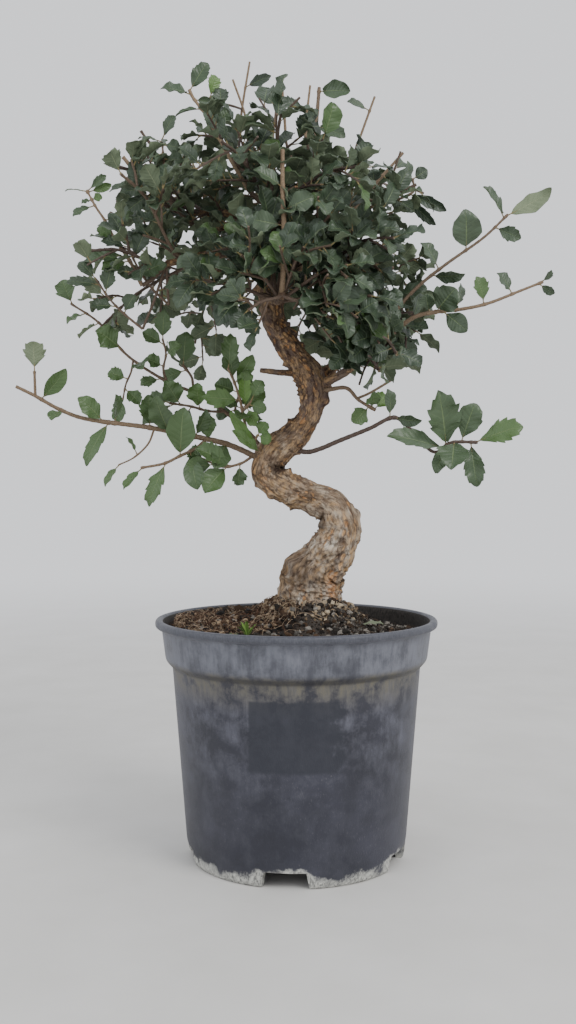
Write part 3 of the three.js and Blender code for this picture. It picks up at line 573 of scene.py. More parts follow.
class Nodes:
    """A material's node tree, with short calls for the nodes used here."""

    def __init__(self, name):
        self.material = bpy.data.materials.new(name)
        self.material.use_nodes = True
        self.tree = self.material.node_tree
        self.tree.nodes.clear()
        self.output = self.tree.nodes.new("ShaderNodeOutputMaterial")
        self.shader = self.tree.nodes.new("ShaderNodeBsdfPrincipled")
        self.link(self.shader.outputs["BSDF"], self.output.inputs["Surface"])

    def link(self, source, target):
        if isinstance(source, (int, float)):
            target.default_value = source
        elif isinstance(source, tuple):
            target.default_value = (*source, 1.0) if len(target.default_value) == 4 else source
        else:
            self.tree.links.new(source, target)

    def new(self, kind, inputs=(), **settings):
        node = self.tree.nodes.new(kind)
        for key, value in settings.items():
            setattr(node, key, value)
        for key, value in dict(inputs).items():
            self.link(value, node.inputs[key])
        return node

    def place(self, scale=(1, 1, 1)):
        """Object coordinates in millimetres, stretched by a scale."""
        source = self.new("ShaderNodeTexCoord").outputs["Object"]
        return self.stretched(source, tuple(part / MM for part in scale))

    def stem_place(self, scale=(1, 1, 1)):
        """Where a point lies on its stem laid out straight, in millimetres, stretched by a scale."""
        source = self.new("ShaderNodeAttribute", attribute_name="stem_place").outputs["Vector"]
        return self.stretched(source, scale)

    def stretched(self, vector, scale):
        return self.new("ShaderNodeMapping", {"Vector": vector, "Scale": scale}).outputs["Vector"]

    def near(self, vector, centre, inner, outer):
        """1 within the inner distance of a point, fading to 0 at the outer one."""
        apart = self.new("ShaderNodeVectorMath", {0: vector, 1: centre}, operation="DISTANCE")
        return self.remap(apart.outputs["Value"], outer, inner)

    def noise(self, vector, scale, detail=4, roughness=0.55, distortion=0):
        inputs = {"Vector": vector, "Scale": scale, "Detail": detail, "Roughness": roughness,
                  "Distortion": distortion}
        return self.new("ShaderNodeTexNoise", inputs).outputs["Fac"]

    def cells(self, vector, scale, feature="F1", output="Distance"):
        inputs = {"Vector": vector, "Scale": scale}
        return self.new("ShaderNodeTexVoronoi", inputs, feature=feature).outputs[output]

    def bent(self, vector, scale, reach):
        """The vector moved about by a soft noise, so that a pattern on it isn't regular."""
        soft = self.new("ShaderNodeTexNoise", {"Vector": vector, "Scale": scale}).outputs["Color"]
        inputs = {0: soft, 1: (reach, reach, reach), 2: vector}
        return self.new("ShaderNodeVectorMath", inputs, operation="MULTIPLY_ADD").outputs["Vector"]

    def ramp(self, value, *stops):
        """A colour ramp. A stop is (place, colour), the colour a tuple or one grey level."""
        node = self.new("ShaderNodeValToRGB", {"Fac": value})
        elements = node.color_ramp.elements
        while len(elements) < len(stops):
            elements.new(0.5)
        for element, (place, colour) in zip(elements, stops):
            element.position = place
            element.color = (colour,) * 3 + (1,) if isinstance(colour, (int, float)) else (*colour, 1)
        return node.outputs["Color"]

    def mix(self, share, first, second, blend="MIX"):
        # A colour mix's two colours and its result are at these places among its sockets
        inputs = {0: share, 6: first, 7: second}
        return self.new("ShaderNodeMix", inputs, data_type="RGBA", blend_type=blend).outputs[2]

    def math(self, operation, first, second=0.0, clamp=False):
        node = self.new("ShaderNodeMath", {0: first, 1: second}, operation=operation, use_clamp=clamp)
        return node.outputs["Value"]

    def plus(self, first, second):
        return self.math("ADD", first, second)

    def minus(self, first, second):
        return self.math("SUBTRACT", first, second)

    def times(self, *values):
        product = values[0]
        for value in values[1:]:
            product = self.math("MULTIPLY", product, value)
        return product

    def larger(self, first, second):
        return self.math("MAXIMUM", first, second)

    def swing(self, value, reach):
        """A noise that swings about zero, by half the reach to each side."""
        return self.times(self.minus(value, 0.5), reach)

    def remap(self, value, low, high, new_low=0.0, new_high=1.0):
        inputs = {"Value": value, "From Min": low, "From Max": high, "To Min": new_low, "To Max": new_high}
        node = self.new("ShaderNodeMapRange", inputs, interpolation_type="SMOOTHSTEP")
        return node.outputs["Result"]

    def tone(self):
        """The three channels of the tone attribute."""
        tone = self.new("ShaderNodeVertexColor", layer_name="tone").outputs["Color"]
        return list(self.new("ShaderNodeSeparateColor", {"Color": tone}).outputs)

    def axes(self, vector):
        return list(self.new("ShaderNodeSeparateXYZ", {"Vector": vector}).outputs)

    def finish(self, colour, roughness, height=None, depth=0.4, specular=0.5):
        """Sets the surface. Depth is the relief's height in millimetres."""
        self.link(colour, self.shader.inputs["Base Color"])
        self.link(roughness, self.shader.inputs["Roughness"])
        self.link(specular, self.shader.inputs["Specular IOR Level"])
        if height is not None:
            inputs = {"Strength": 1.0, "Distance": depth * MM, "Height": height}
            bump = self.new("ShaderNodeBump", inputs)
            self.link(bump.outputs["Normal"], self.shader.inputs["Normal"])
        return self.material


# Materials


def pot_material():
    """Weathered dark plastic. The tone's red is 1 on the inside of the pot."""
    nodes = Nodes("weathered_pot_plastic")
    inside = nodes.tone()[0]
    place = nodes.place()
    x, y, z = nodes.axes(place)
    clouds = nodes.noise(place, 0.022, 5, 0.6, 0.1)
    smudges = nodes.noise(place, 0.075, 7, 0.66, 0.15)
    streaks = nodes.noise(nodes.place((1, 1, 0.14)), 0.3, 5, 0.7)
    scuffs = nodes.noise(nodes.place((1, 1, 0.5)), 0.9, 5, 0.75)
    base = nodes.ramp(clouds, (0.36, (0.02, 0.021, 0.031)), (0.52, (0.027, 0.028, 0.041)),
                      (0.68, (0.037, 0.038, 0.055)))
    worn = nodes.times(nodes.ramp(smudges, (0.42, 0.0), (0.8, 1.0)),
                       nodes.ramp(streaks, (0.3, 0.3), (0.65, 1.0)))
    # The worn marks grow stronger up the body, so the body is darker towards the bottom
    worn = nodes.times(worn, nodes.remap(z, 35, 118, 0.3, 1.45))
    colour = nodes.mix(worn, base, (0.13, 0.133, 0.164))
    dusty = nodes.times(nodes.ramp(scuffs, (0.58, 0.0), (0.78, 0.8)),
                        nodes.ramp(clouds, (0.42, 0.1), (0.6, 0.6)))
    colour = nodes.mix(dusty, colour, (0.22, 0.22, 0.24))
    # The band under the rim is chalkier than the body
    band = nodes.remap(z, BAND_BOTTOM - 3, BAND_BOTTOM + 2)
    chalk = nodes.times(band, nodes.ramp(smudges, (0.34, 0.35), (0.66, 0.8)))
    chalk = nodes.times(chalk, nodes.ramp(streaks, (0.36, 0.6), (0.6, 1.15)))
    colour = nodes.mix(chalk, colour, (0.17, 0.178, 0.208))
    under_band = nodes.times(nodes.remap(z, 106, 130), nodes.remap(z, 136, 131))
    ochre = nodes.times(under_band, nodes.ramp(streaks, (0.36, 0.3), (0.62, 0.85)))
    ochre = nodes.times(ochre, nodes.ramp(smudges, (0.42, 0.1), (0.58, 1.0)))
    colour = nodes.mix(ochre, colour, (0.145, 0.13, 0.085))
    # Painted shade darkens the groove between the shoulder and the band
    painted_groove_shade = nodes.times(nodes.remap(z, 127.5, 129.5), nodes.remap(z, 133, 131))
    colour = nodes.mix(nodes.times(painted_groove_shade, 0.55), colour, (0.02, 0.02, 0.024))
    patch = clean_patch(nodes, x, y, z, smudges)
    colour = nodes.mix(nodes.times(patch, 0.8), colour, (0.02, 0.022, 0.032))
    # White mineral crust along the foot and round its notches
    ragged = nodes.swing(smudges, 26.0)
    edge = nodes.plus(z, ragged)
    edge = nodes.plus(edge, nodes.swing(scuffs, 9.0))
    for spot in CRUST_SPOTS:
        thick = nodes.near(place, spot, 2, 11)
        edge = nodes.minus(edge, nodes.times(thick, 6.0))
    specks = nodes.ramp(scuffs, (0.36, 0.25), (0.52, 1.0))
    crust = nodes.times(nodes.remap(edge, 8, 3), specks)
    colour = nodes.mix(crust, colour, (0.56, 0.56, 0.52))
    # The inside of the pot is painted near black: partly dirt, partly painted shade
    inside_dirt_and_shade = nodes.ramp(scuffs, (0.4, (0.016, 0.014, 0.013)), (0.7, (0.06, 0.052, 0.045)))
    colour = nodes.mix(inside, colour, inside_dirt_and_shade)
    lip = nodes.times(nodes.remap(z, POT_HEIGHT - 5.5, POT_HEIGHT - 4), 0.75)
    lip_colour = nodes.ramp(scuffs, (0.4, (0.027, 0.029, 0.041)), (0.7, (0.08, 0.082, 0.096)))
    colour = nodes.mix(nodes.math("SUBTRACT", lip, inside, True), colour, lip_colour)
    rough = nodes.remap(nodes.larger(worn, crust), 0, 1, 0.46, 0.8)
    rough = nodes.larger(rough, nodes.times(inside, 0.95))
    relief = nodes.plus(scuffs, nodes.times(crust, 3.0))
    return nodes.finish(colour, rough, relief, 0.16, 0.45)


def clean_patch(nodes, x, y, z, smudges):
    """Where a plain label once kept the front of the pot clean: 1 inside, 0 outside."""
    wave = nodes.noise(nodes.place(), 0.06, 2)
    shift = nodes.swing(wave, 2.5)
    torn = nodes.swing(smudges, 48.0)
    left = nodes.remap(nodes.plus(x, shift), -31, -29)
    right = nodes.remap(nodes.plus(x, torn), 30, 22)
    low = nodes.remap(nodes.plus(z, shift), 72, 75)
    high = nodes.remap(nodes.plus(z, shift), 119, 117)
    front = nodes.math("LESS_THAN", y, 0.0)
    return nodes.times(left, right, low, high, front)


def bark_material():
    """Corky bark with painted shade inside the trunk's bends. The tone's red is how deep a furrow is, its
    green how far inside a bend it lies, its blue how near the pale base."""
    nodes = Nodes("corky_bark")
    furrow, inner, base = nodes.tone()
    stem = nodes.stem_place()
    grain = nodes.noise(nodes.stem_place((1, 1, 0.8)), 0.36, 7, 0.66, 0.3)
    fine = nodes.noise(stem, 1.5, 5, 0.72)
    patches = nodes.noise(stem, 0.085, 3, 0.6)
    lanes = nodes.noise(nodes.stem_place((1, 1, 0.16)), 0.13, 2, 0.5)
    level = nodes.axes(nodes.place())[2]
    soft = nodes.noise(nodes.stem_place((1, 1, 0.5)), 0.2, 5, 0.6, 0.3)
    brown = nodes.ramp(soft, (0.36, (0.15, 0.1, 0.068)), (0.48, (0.28, 0.2, 0.135)),
                       (0.58, (0.4, 0.3, 0.205)), (0.72, (0.52, 0.41, 0.29)))
    grey = nodes.ramp(soft, (0.34, (0.2, 0.145, 0.1)), (0.46, (0.36, 0.285, 0.21)),
                      (0.56, (0.47, 0.41, 0.335)), (0.7, (0.64, 0.59, 0.51)))
    colour = nodes.mix(base, brown, grey)
    pitted = nodes.ramp(grain, (0.36, 0.8), (0.48, 0.0))
    colour = nodes.mix(pitted, colour, (0.1, 0.062, 0.042))
    colour = nodes.mix(nodes.ramp(grain, (0.54, 0.0), (0.7, 0.45)), colour, (0.66, 0.56, 0.43))
    high = nodes.remap(nodes.plus(level, nodes.times(patches, 30.0)), 278, 318)
    colour = nodes.mix(nodes.times(high, 0.66), colour, (0.075, 0.05, 0.05))
    ochre = nodes.times(nodes.ramp(patches, (0.43, 0.0), (0.58, 0.8)),
                        nodes.ramp(grain, (0.42, 0.0), (0.58, 1.0)))
    colour = nodes.mix(ochre, colour, (0.52, 0.33, 0.16))
    # Tan chips and pits in lanes along the stem, each with a dark rim and some with a dark heart
    long = nodes.bent(nodes.stem_place((1, 1, 0.72)), 0.45, 2.2)
    chip_random, chip_shade, _ = nodes.axes(nodes.cells(long, 0.33, output="Color"))
    chip_gap = nodes.plus(nodes.cells(long, 0.33), nodes.times(fine, 0.3))
    chip_share = nodes.times(nodes.remap(chip_random, 0.2, 0.4),
                             nodes.ramp(lanes, (0.49, 0.05), (0.56, 1.0)))
    chip = nodes.times(chip_share, nodes.remap(chip_gap, 0.66, 0.46))
    rim = nodes.times(nodes.remap(chip_gap, 0.52, 0.64), chip_share)
    heart = nodes.times(nodes.remap(chip_gap, 0.36, 0.22), nodes.remap(chip_shade, 0.4, 0.6))
    tan = nodes.mix(chip_shade, (0.47, 0.22, 0.08), (0.72, 0.46, 0.22))
    tan = nodes.mix(nodes.ramp(fine, (0.4, 0.6), (0.62, 0.0)), tan, (0.3, 0.14, 0.06))
    tan = nodes.mix(nodes.times(heart, 0.6), tan, (0.16, 0.07, 0.03))
    colour = nodes.mix(nodes.times(rim, 0.62), colour, (0.075, 0.04, 0.025))
    colour = nodes.mix(nodes.times(chip, 0.86), colour, tan)
    # The base is darker and rougher at its left, and a tan highlight is painted on the right of the bend
    # over it
    rugged = nodes.near(nodes.place(), (3, -10, 192), 7, 23)
    rugged = nodes.times(rugged, nodes.ramp(grain, (0.4, 0.95), (0.66, 0.4)))
    colour = nodes.mix(rugged, colour, (0.075, 0.045, 0.028))
    # Painted light: a tan highlight on the lit right side of the bend
    painted_light_patch = nodes.near(nodes.place((1, 1, 0.55)), (37, -12, 110), 4, 15)
    painted_light_patch = nodes.times(painted_light_patch, nodes.ramp(grain, (0.46, 0.0), (0.62, 0.65)))
    colour = nodes.mix(painted_light_patch, colour, (0.56, 0.35, 0.17))
    streak = nodes.near(nodes.place((1.35, 0.6, 0.5)), (31.5, -11, 91), 2, 8)
    streak = nodes.times(streak, nodes.ramp(grain, (0.4, 0.0), (0.55, 0.85)))
    colour = nodes.mix(streak, colour, (0.58, 0.29, 0.13))
    blotch = nodes.times(nodes.ramp(patches, (0.54, 0.0), (0.68, 0.6)),
                         nodes.ramp(fine, (0.35, 0.4), (0.6, 1.0)))
    colour = nodes.mix(blotch, colour, nodes.mix(0.7, colour, (0.06, 0.036, 0.024)))
    crack_line = nodes.cells(nodes.bent(nodes.stem_place((1, 1, 0.14)), 0.3, 1.6), 0.3, "DISTANCE_TO_EDGE")
    crack_line = nodes.plus(crack_line, nodes.times(fine, 0.22))
    line = nodes.remap(crack_line, 0.17, 0.09)
    line = nodes.times(line, nodes.remap(base, 0, 1, 0.55, 0.2))
    dark = nodes.larger(nodes.times(furrow, 0.5), line)
    colour = nodes.mix(dark, colour, (0.026, 0.016, 0.011))
    # Painted shade: darker on the inside of the trunk's bends
    colour = nodes.mix(nodes.times(inner, 0.78), colour, (0.035, 0.021, 0.014))
    relief = nodes.plus(nodes.times(grain, 0.6), nodes.times(fine, 0.5))
    relief = nodes.plus(relief, nodes.times(chip, 0.4))
    relief = nodes.minus(relief, nodes.times(line, 0.35))
    return nodes.finish(colour, 0.9, relief, 1.1, 0.25)


def twig_material():
    """Twig bark. The tone's red runs from dark purple brown to tan, its green is how fresh a bud is."""
    nodes = Nodes("twig_bark")
    warm, fresh, cut = nodes.tone()
    grain = nodes.noise(nodes.place(), 1.4, 4, 0.6)
    dark = nodes.ramp(grain, (0.3, (0.035, 0.024, 0.022)), (0.7, (0.1, 0.07, 0.06)))
    tan = nodes.ramp(grain, (0.3, (0.13, 0.085, 0.052)), (0.7, (0.3, 0.215, 0.13)))
    colour = nodes.mix(warm, dark, tan)
    colour = nodes.mix(fresh, colour, (0.36, 0.33, 0.1))
    colour = nodes.mix(cut, colour, (0.46, 0.38, 0.26))
    return nodes.finish(colour, 0.7, grain, 0.15, 0.35)


def leaf_material():
    """Leaves. The map's u runs across from edge to edge and v from the root to the tip.
    The tone's red is the leaf's own shade, its green how young it is, its blue 1 underneath."""
    nodes = Nodes("oak_leaf")
    shade, young, under = nodes.tone()
    uv = nodes.new("ShaderNodeUVMap", uv_map="leaf_place").outputs["UV"]
    u, v, _ = nodes.axes(uv)
    across = nodes.math("ABSOLUTE", nodes.minus(u, 0.5))
    # Side veins leave the midrib forwards, about seven a side
    slanted = nodes.minus(v, nodes.times(across, 0.42))
    phase = nodes.math("FRACT", nodes.times(slanted, 7.5))
    vein_gap = nodes.math("ABSOLUTE", nodes.minus(phase, 0.5))
    side_vein = nodes.remap(vein_gap, 0.09, 0.0)
    side_vein = nodes.times(side_vein, nodes.remap(across, 0.47, 0.3))
    midrib = nodes.remap(across, nodes.remap(v, 0, 1, 0.045, 0.018), 0.006)
    veins = nodes.larger(midrib, nodes.times(side_vein, 0.22))
    mottle = nodes.noise(nodes.place(), 0.35, 4, 0.6)
    fine = nodes.noise(nodes.place(), 2.2, 3)
    dark = nodes.mix(shade, (0.019, 0.032, 0.022), (0.056, 0.083, 0.048))
    dark = nodes.mix(nodes.ramp(mottle, (0.4, 0.0), (0.75, 0.45)), dark, (0.05, 0.075, 0.05))
    upper = nodes.mix(young, dark, (0.1, 0.2, 0.035))
    upper = nodes.mix(nodes.times(veins, 0.6), upper, (0.17, 0.23, 0.1))
    pale = nodes.mix(shade, (0.08, 0.11, 0.065), (0.17, 0.21, 0.125))
    pale = nodes.mix(nodes.times(veins, 0.6), pale, (0.3, 0.34, 0.2))
    colour = nodes.mix(under, upper, pale)
    colour = nodes.mix(nodes.ramp(fine, (0.55, 0.0), (0.8, 0.25)), colour, (0.09, 0.11, 0.06))
    quilt = nodes.minus(vein_gap, nodes.times(veins, 0.6))
    relief = nodes.plus(nodes.times(quilt, 0.8), nodes.times(mottle, 0.5))
    rough = nodes.plus(nodes.times(under, 0.38), 0.4)
    return nodes.finish(colour, rough, relief, 0.3, 0.45)


def soil_material():
    """Peat. The tone's red runs from black to fibrous red brown."""
    nodes = Nodes("peat_soil")
    fibre = nodes.tone()[0]
    place = nodes.place()
    lumps = nodes.noise(place, 0.4, 7, 0.75, 1.2)
    fine = nodes.noise(place, 2.0, 5, 0.75)
    dark = nodes.ramp(fine, (0.35, (0.014, 0.012, 0.011)), (0.52, (0.075, 0.065, 0.056)),
                      (0.66, (0.26, 0.23, 0.2)))
    warm = nodes.ramp(lumps, (0.38, (0.008, 0.006, 0.005)), (0.52, (0.026, 0.017, 0.013)),
                      (0.63, (0.11, 0.067, 0.043)), (0.74, (0.3, 0.22, 0.15)))
    colour = nodes.mix(fibre, dark, warm)
    return nodes.finish(colour, 0.95, nodes.mix(0.5, lumps, fine), 2.2, 0.15)


def crumb_material():
    """Loose bits. The tone is the bit's own colour."""
    nodes = Nodes("soil_bits")
    colour = nodes.new("ShaderNodeVertexColor", layer_name="tone").outputs["Color"]
    grain = nodes.noise(nodes.place(), 2.0, 4, 0.7)
    darker = nodes.mix(1.0, colour, nodes.ramp(grain, (0.3, 0.45), (0.7, 1.0)), "MULTIPLY")
    return nodes.finish(darker, 0.9, grain, 0.3, 0.25)


# Trunk and limbs

trunk_curve = Curve(TRUNK, (0, 1, 0))


def trunk_radius(shares):
    place = trunk_curve.parameter(shares) * (len(TRUNK) - 1)
    return np.interp(place, range(len(TRUNK)), [point[3] for point in TRUNK])


def bark_relief(flat, size, seed):
    """Furrow depth and rough height of bark at points laid out flat along a stem."""
    furrow = np.empty(len(flat))
    height = np.empty(len(flat))
    shift = Vector((seed * 17.3, seed * 5.1, seed * 9.7))
    for i, (x, y, z) in enumerate(flat):
        place = Vector((x / size, y / size, z / size)) + shift
        long = Vector((x / size, y / size, z / size / 2.6)) + shift
        furrow[i] = abs(noise.fractal(long * 0.75, 0.8, 2.1, 3))
        coarse = noise.fractal(place * 0.55, 0.8, 2.1, 3)
        height[i] = 0.75 * coarse + 0.32 * noise.fractal(place * 1.9, 0.7, 2.3, 2)
    return 1 - smoothstep(furrow, 0.0, 0.13), height


def inner_bend_shade(shares, angles):
    """How far each point of the trunk's skin lies inside a bend of its line: 0 to 1. The bark's painted
    shade lies there.
    """
    step = 0.012
    before = trunk_curve.frames(np.clip(shares - step, 0, 1))[1]
    after = trunk_curve.frames(np.clip(shares + step, 0, 1))[1]
    _, _, side, across = trunk_curve.frames(shares)
    bend = (after - before) / (2 * step * trunk_curve.length)
    outward = (across[:, None] * np.cos(angles)[..., None] + side[:, None] * np.sin(angles)[..., None])
    return smoothstep((outward * bend[:, None]).sum(-1), 0.012, 0.05)


def bark_skin(curve, radius, sides, size, seed):
    """A stem's skin: each point's share along it, angle and radius, its place laid out flat, and
    its furrow depth and rough height."""
    shares = np.linspace(0, 1, len(radius))
    angles = np.linspace(0, 2 * math.pi, sides, endpoint=False)
    share, angle = np.meshgrid(shares, angles, indexing="ij")
    wide = np.repeat(radius[:, None], sides, axis=1)
    flat = np.stack([np.cos(angle) * wide, np.sin(angle) * wide, share * curve.length], -1)
    relief = bark_relief(flat.reshape(-1, 3), size, seed)
    return share, angle, wide, flat, *(part.reshape(wide.shape) for part in relief)


def add_bark(shape, points, faces, tones, flat):
    ends = np.zeros((2, 3))
    shape.add(points, faces, tone=np.vstack([np.stack(tones, -1).reshape(-1, 3), ends]),
              stem=np.vstack([flat.reshape(-1, 3), ends]))


def add_trunk(shape):
    shares = np.linspace(0, 1, TRUNK_STEPS + 1)
    share, angle, radius, flat, furrow, height = bark_skin(trunk_curve, trunk_radius(shares), TRUNK_SIDES,
                                                           BARK_SIZE, 1)
    level = np.repeat(trunk_curve.points(shares)[:, 2][:, None], TRUNK_SIDES, axis=1)
    fade = smoothstep(level, BARK_START, BARK_START + 12)
    ridges = 0.045 * np.sin(3 * angle + 31 * share) + 0.03 * np.sin(4 * angle - 67 * share)
    knots = 0.025 * np.sin(113 * share + 3 * np.sin(angle + 0.4))
    depth = np.clip(radius / 14, 0.35, 1.15)
    rough = 1.5 + 0.8 * (1 - smoothstep(level, 195, 235))
    body = radius * (1 + fade * (ridges + knots))
    body = body + depth * (0.3 - 0.75 * furrow + rough * height) + wart_height(flat, radius)
    points, faces = tube(trunk_curve, body, TRUNK_SIDES, TRUNK_STEPS)
    for x, z, size, shift_x, shift_z in TRUNK_NUDGES:
        weight = np.exp(-((points[:, 0] - x) ** 2 + (points[:, 2] - z) ** 2) / size**2)
        points = points + weight[:, None] * np.array([shift_x, 0, shift_z])
    base = 1 - smoothstep(level + 14 * height, 196, 262) * 0.9
    add_bark(shape, points, faces, [furrow, inner_bend_shade(shares, angle[0]), base], flat)


def wart_height(flat, radius):
    """Small burrs, old bud scars and peeling edges that stand out of the bark."""
    height = np.zeros(radius.shape)
    for i in range(WARTS):
        level = 44 + draw(i, 31) * (trunk_curve.length - 80)
        turn = 2 * math.pi * draw(i, 32)
        size = 0.8 + 1.4 * draw(i, 33) ** 2
        row = int(level / trunk_curve.length * TRUNK_STEPS)
        reach = int(3 * size / trunk_curve.length * TRUNK_STEPS) + 1
        rows = slice(max(row - reach, 0), row + reach)
        wide = radius[row, 0]
        centre = np.array([math.cos(turn) * wide, math.sin(turn) * wide, level])
        apart = np.linalg.norm(flat[rows] - centre, axis=-1)
        tall = 0.5 + 1.6 * draw(i, 34)
        if i % 11 == 0:
            size, tall = 2.4, 2.6
        height[rows] += tall * np.exp(-((apart / size) ** 2))
    return height


def bowed(start, end, lift):
    middle = (start + end) / 2
    middle[2] += lift
    return [start, middle, end]


def crown_share(away):
    """How far out a place lies from the crown's centre: 1 on its rounded outline."""
    tall = CROWN_UP if away[2] > 0 else CROWN_DOWN
    sizes = np.array([CROWN_WIDE, CROWN_DEEP, tall])
    return (np.abs(away / sizes) ** CROWN_ROUNDNESS).sum() ** (1 / CROWN_ROUNDNESS)


def crown_point(azimuth_degrees, elevation_degrees, share):
    azimuth = math.radians(azimuth_degrees)
    elevation = math.radians(elevation_degrees)
    away = np.array([math.cos(elevation) * math.cos(azimuth), math.cos(elevation) * math.sin(azimuth),
                     math.sin(elevation)])
    return CROWN_CENTRE + away * share / crown_share(away)


def tier_limb(tier, index):
    low, high = tier["trunk_share"]
    share = low + (high - low) * index / (len(tier["azimuths"]) - 1)
    start = trunk_curve.points(share)[0]
    end = crown_point(tier["azimuths"][index], tier["elevation"], LIMB_REACH)
    return {"points": bowed(start, end, 3), "radii": (tier["radius"], tier["radius"] * 0.55)}


def top_limb(fork):
    start = trunk_curve.points(0.985)[0]
    return {"points": bowed(start, np.array(fork["reach"], float), 2), "radii": (2.8, 2)}


def all_limbs():
    limbs = list(OWN_LIMBS.values())
    limbs += [tier_limb(tier, i) for tier in TIERS for i in range(len(tier["azimuths"]))]
    return limbs + [top_limb(fork) for fork in TOP_FORKS]


def add_limb(shape, limb, seed):
    """A limb with rough bark and a collar where it leaves the trunk."""
    curve = Curve(limb["points"])
    steps = max(int(curve.length / LIMB_STEP), 12)
    shares = np.linspace(0, 1, steps + 1)
    start, end = limb["radii"]
    radius = (start + (end - start) * shares) * (1 + 0.5 * np.exp(-shares * curve.length / 9))
    _, _, wide, flat, furrow, height = bark_skin(curve, radius, LIMB_SIDES, LIMB_BARK_SIZE, seed + 2)
    body = wide * (1 - 0.1 * furrow + 0.14 * height)
    points, faces = tube(curve, body, LIMB_SIDES, steps)
    tones = [furrow * 0.6, np.full(wide.shape, 0.15), np.full(wide.shape, 0.2)]
    add_bark(shape, points, faces, tones, flat + (0, 0, 90 * seed))


def make_trunk(bark):
    shape = Shape()
    add_trunk(shape)
    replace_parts(shape.make("trunk_bark", [bark], 70), "trunk")
    shape = Shape()
    for seed, limb in enumerate(all_limbs()):
        add_limb(shape, limb, seed)
    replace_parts(shape.make("limb_bark", [bark], 70), "trunk")


# Leaves


def offshoot(curve, share, lean, around, rise):
    """A place on a stem, the stem's direction there, and that of what leaves it."""
    point, along, side, across = (part[0] for part in curve.frames(share))
    direction = along * math.cos(lean)
    direction = direction + side * math.sin(lean) * math.cos(around)
    direction = direction + across * math.sin(lean) * math.sin(around)
    direction[2] += rise
    return point, along, unit(direction)


def ruled_leaf(curve, share, seed, turn, lengths=LEAF_LENGTH):
    """A leaf by rule: its root on the stem, its tip, its width and the way its upper face looks."""
    lean = 0.3 if share > 0.95 else 0.85 + 0.4 * draw(seed, 1)
    point, _, direction = offshoot(curve, share, lean, GOLDEN_TURN * seed + turn * 0.8, 0.12)
    length = drawn(lengths, seed, 2)
    face = unit(point - CROWN_CENTRE) * 0.7
    face = face + np.array([0.9 * (draw(seed, 3) - 0.5), 0.9 * (draw(seed, 4) - 0.5), 0.55])
    width = length * (LEAF_WIDTH_SHARE + 0.1 * (draw(seed, 5) - 0.5))
    return {"root": point, "tip": point + direction * length, "width": width, "face": face, "seed": seed}


def placed_leaf(curve, entry, turn, seed):
    """A leaf placed one by one: a roll of zero turns its upper face to the front."""
    share, tip, width, roll = entry
    root = curve.points(share)[0]
    axis = unit(np.array(tip, float) - root)
    angle = roll + 22 * turn * (1 if turn % 2 else -1)
    face = turned_about((0, -1, 0.25), axis, angle)
    width = width * PLACED_WIDTH_SCALE
    return {"root": root, "tip": np.array(tip, float), "width": width, "face": face, "seed": seed}


def leaf_axes(leaf):
    along = leaf["tip"] - leaf["root"]
    length = np.linalg.norm(along)
    along = along / length
    up = unit(leaf["face"] - along * np.dot(leaf["face"], along))
    return length, along, up, np.cross(along, up)


def tooth_rows(teeth):
    """Rows from a blade's root to its tip, as (share, 1 in the gap before a tooth, 1 on a tooth)."""
    rows = [(0.0, 0, 0), (0.08, 0, 0)]
    first, last = 0.2, 0.9
    gap = (last - first) / teeth
    for i in range(teeth):
        base = first + gap * i
        rows += [(base, 1, 0), (base + gap * 0.5, 0, 0.4), (base + gap * 0.78, 0, 1)]
    return rows + [(last, 0, 0), (0.965, 0, 0), (1.0, 0, 0)]


def blade_outline(share, form, blunt):
    """The half width of an oval blade: tapered at the root, pointed or blunt at the tip."""
    return np.sin(math.pi * share**form) ** (0.76 - blunt * share)


def leaf_points(leaf, across=LEAF_COLUMNS):
    """The upper skin of a blade as a grid of points, with its map and its up direction."""
    seed = leaf["seed"]
    length, along, up, side = leaf_axes(leaf)
    teeth = 2 + int(3 * draw(seed, 11))
    bite = 0.03 * draw(seed, 12) if draw(seed, 19) < 0.25 else 0.06 + 0.1 * draw(seed, 12)
    form = 0.9 + 0.42 * draw(seed, 13)
    stalk = min(PETIOLE_LENGTH / length, 0.2)
    rows = np.array(tooth_rows(teeth))
    share = rows[:, 0]
    is_tooth = rows[:, 2]
    before_tooth = rows[:, 1]
    outline = blade_outline(np.clip(share, 0.008, 0.997), form, 0.02 + 0.3 * draw(seed, 20))
    half = leaf["width"] / 2 * outline * (1 + bite * is_tooth - 0.6 * bite * before_tooth)
    columns = np.linspace(-1, 1, across)
    place = stalk + share[:, None] * (1 - stalk)
    hand = columns[None, :]
    forward = 0.3 * bite * is_tooth[:, None] * np.abs(hand) ** 3
    offset = half[:, None] * hand
    wave = 0.5 + 1.1 * draw(seed, 14)
    ripple = LEAF_RIPPLE * 1.4 * leaf["width"] * wave
    ripple = ripple * np.sin(place * 17 + np.sign(hand)) * np.abs(hand) ** 1.5
    curl = (draw(seed, 15) - 0.35) * 0.16 * leaf["width"] * hand**2
    droop = LEAF_DROOP * length * 2 * (1 - place) * place
    hook = -0.05 * length * (0.4 + draw(seed, 16)) * np.clip(place - 0.75, 0, 1) ** 2 * 16
    height = droop + hook + LEAF_FOLD * np.abs(offset) + ripple + curl
    turn = 0.3 * (draw(seed, 17) - 0.5) * place
    lifted = height * np.cos(turn) + offset * np.sin(turn)
    spread = offset * np.cos(turn) - height * np.sin(turn) * 0.3
    grid = (leaf["root"] + along * ((place + forward) * length)[..., None] + side * spread[..., None]
            + up * lifted[..., None])
    spots = np.stack([np.broadcast_to((hand + 1) / 2, offset.shape),
                      np.broadcast_to(share[:, None], offset.shape)], -1)
    return grid, spots, up


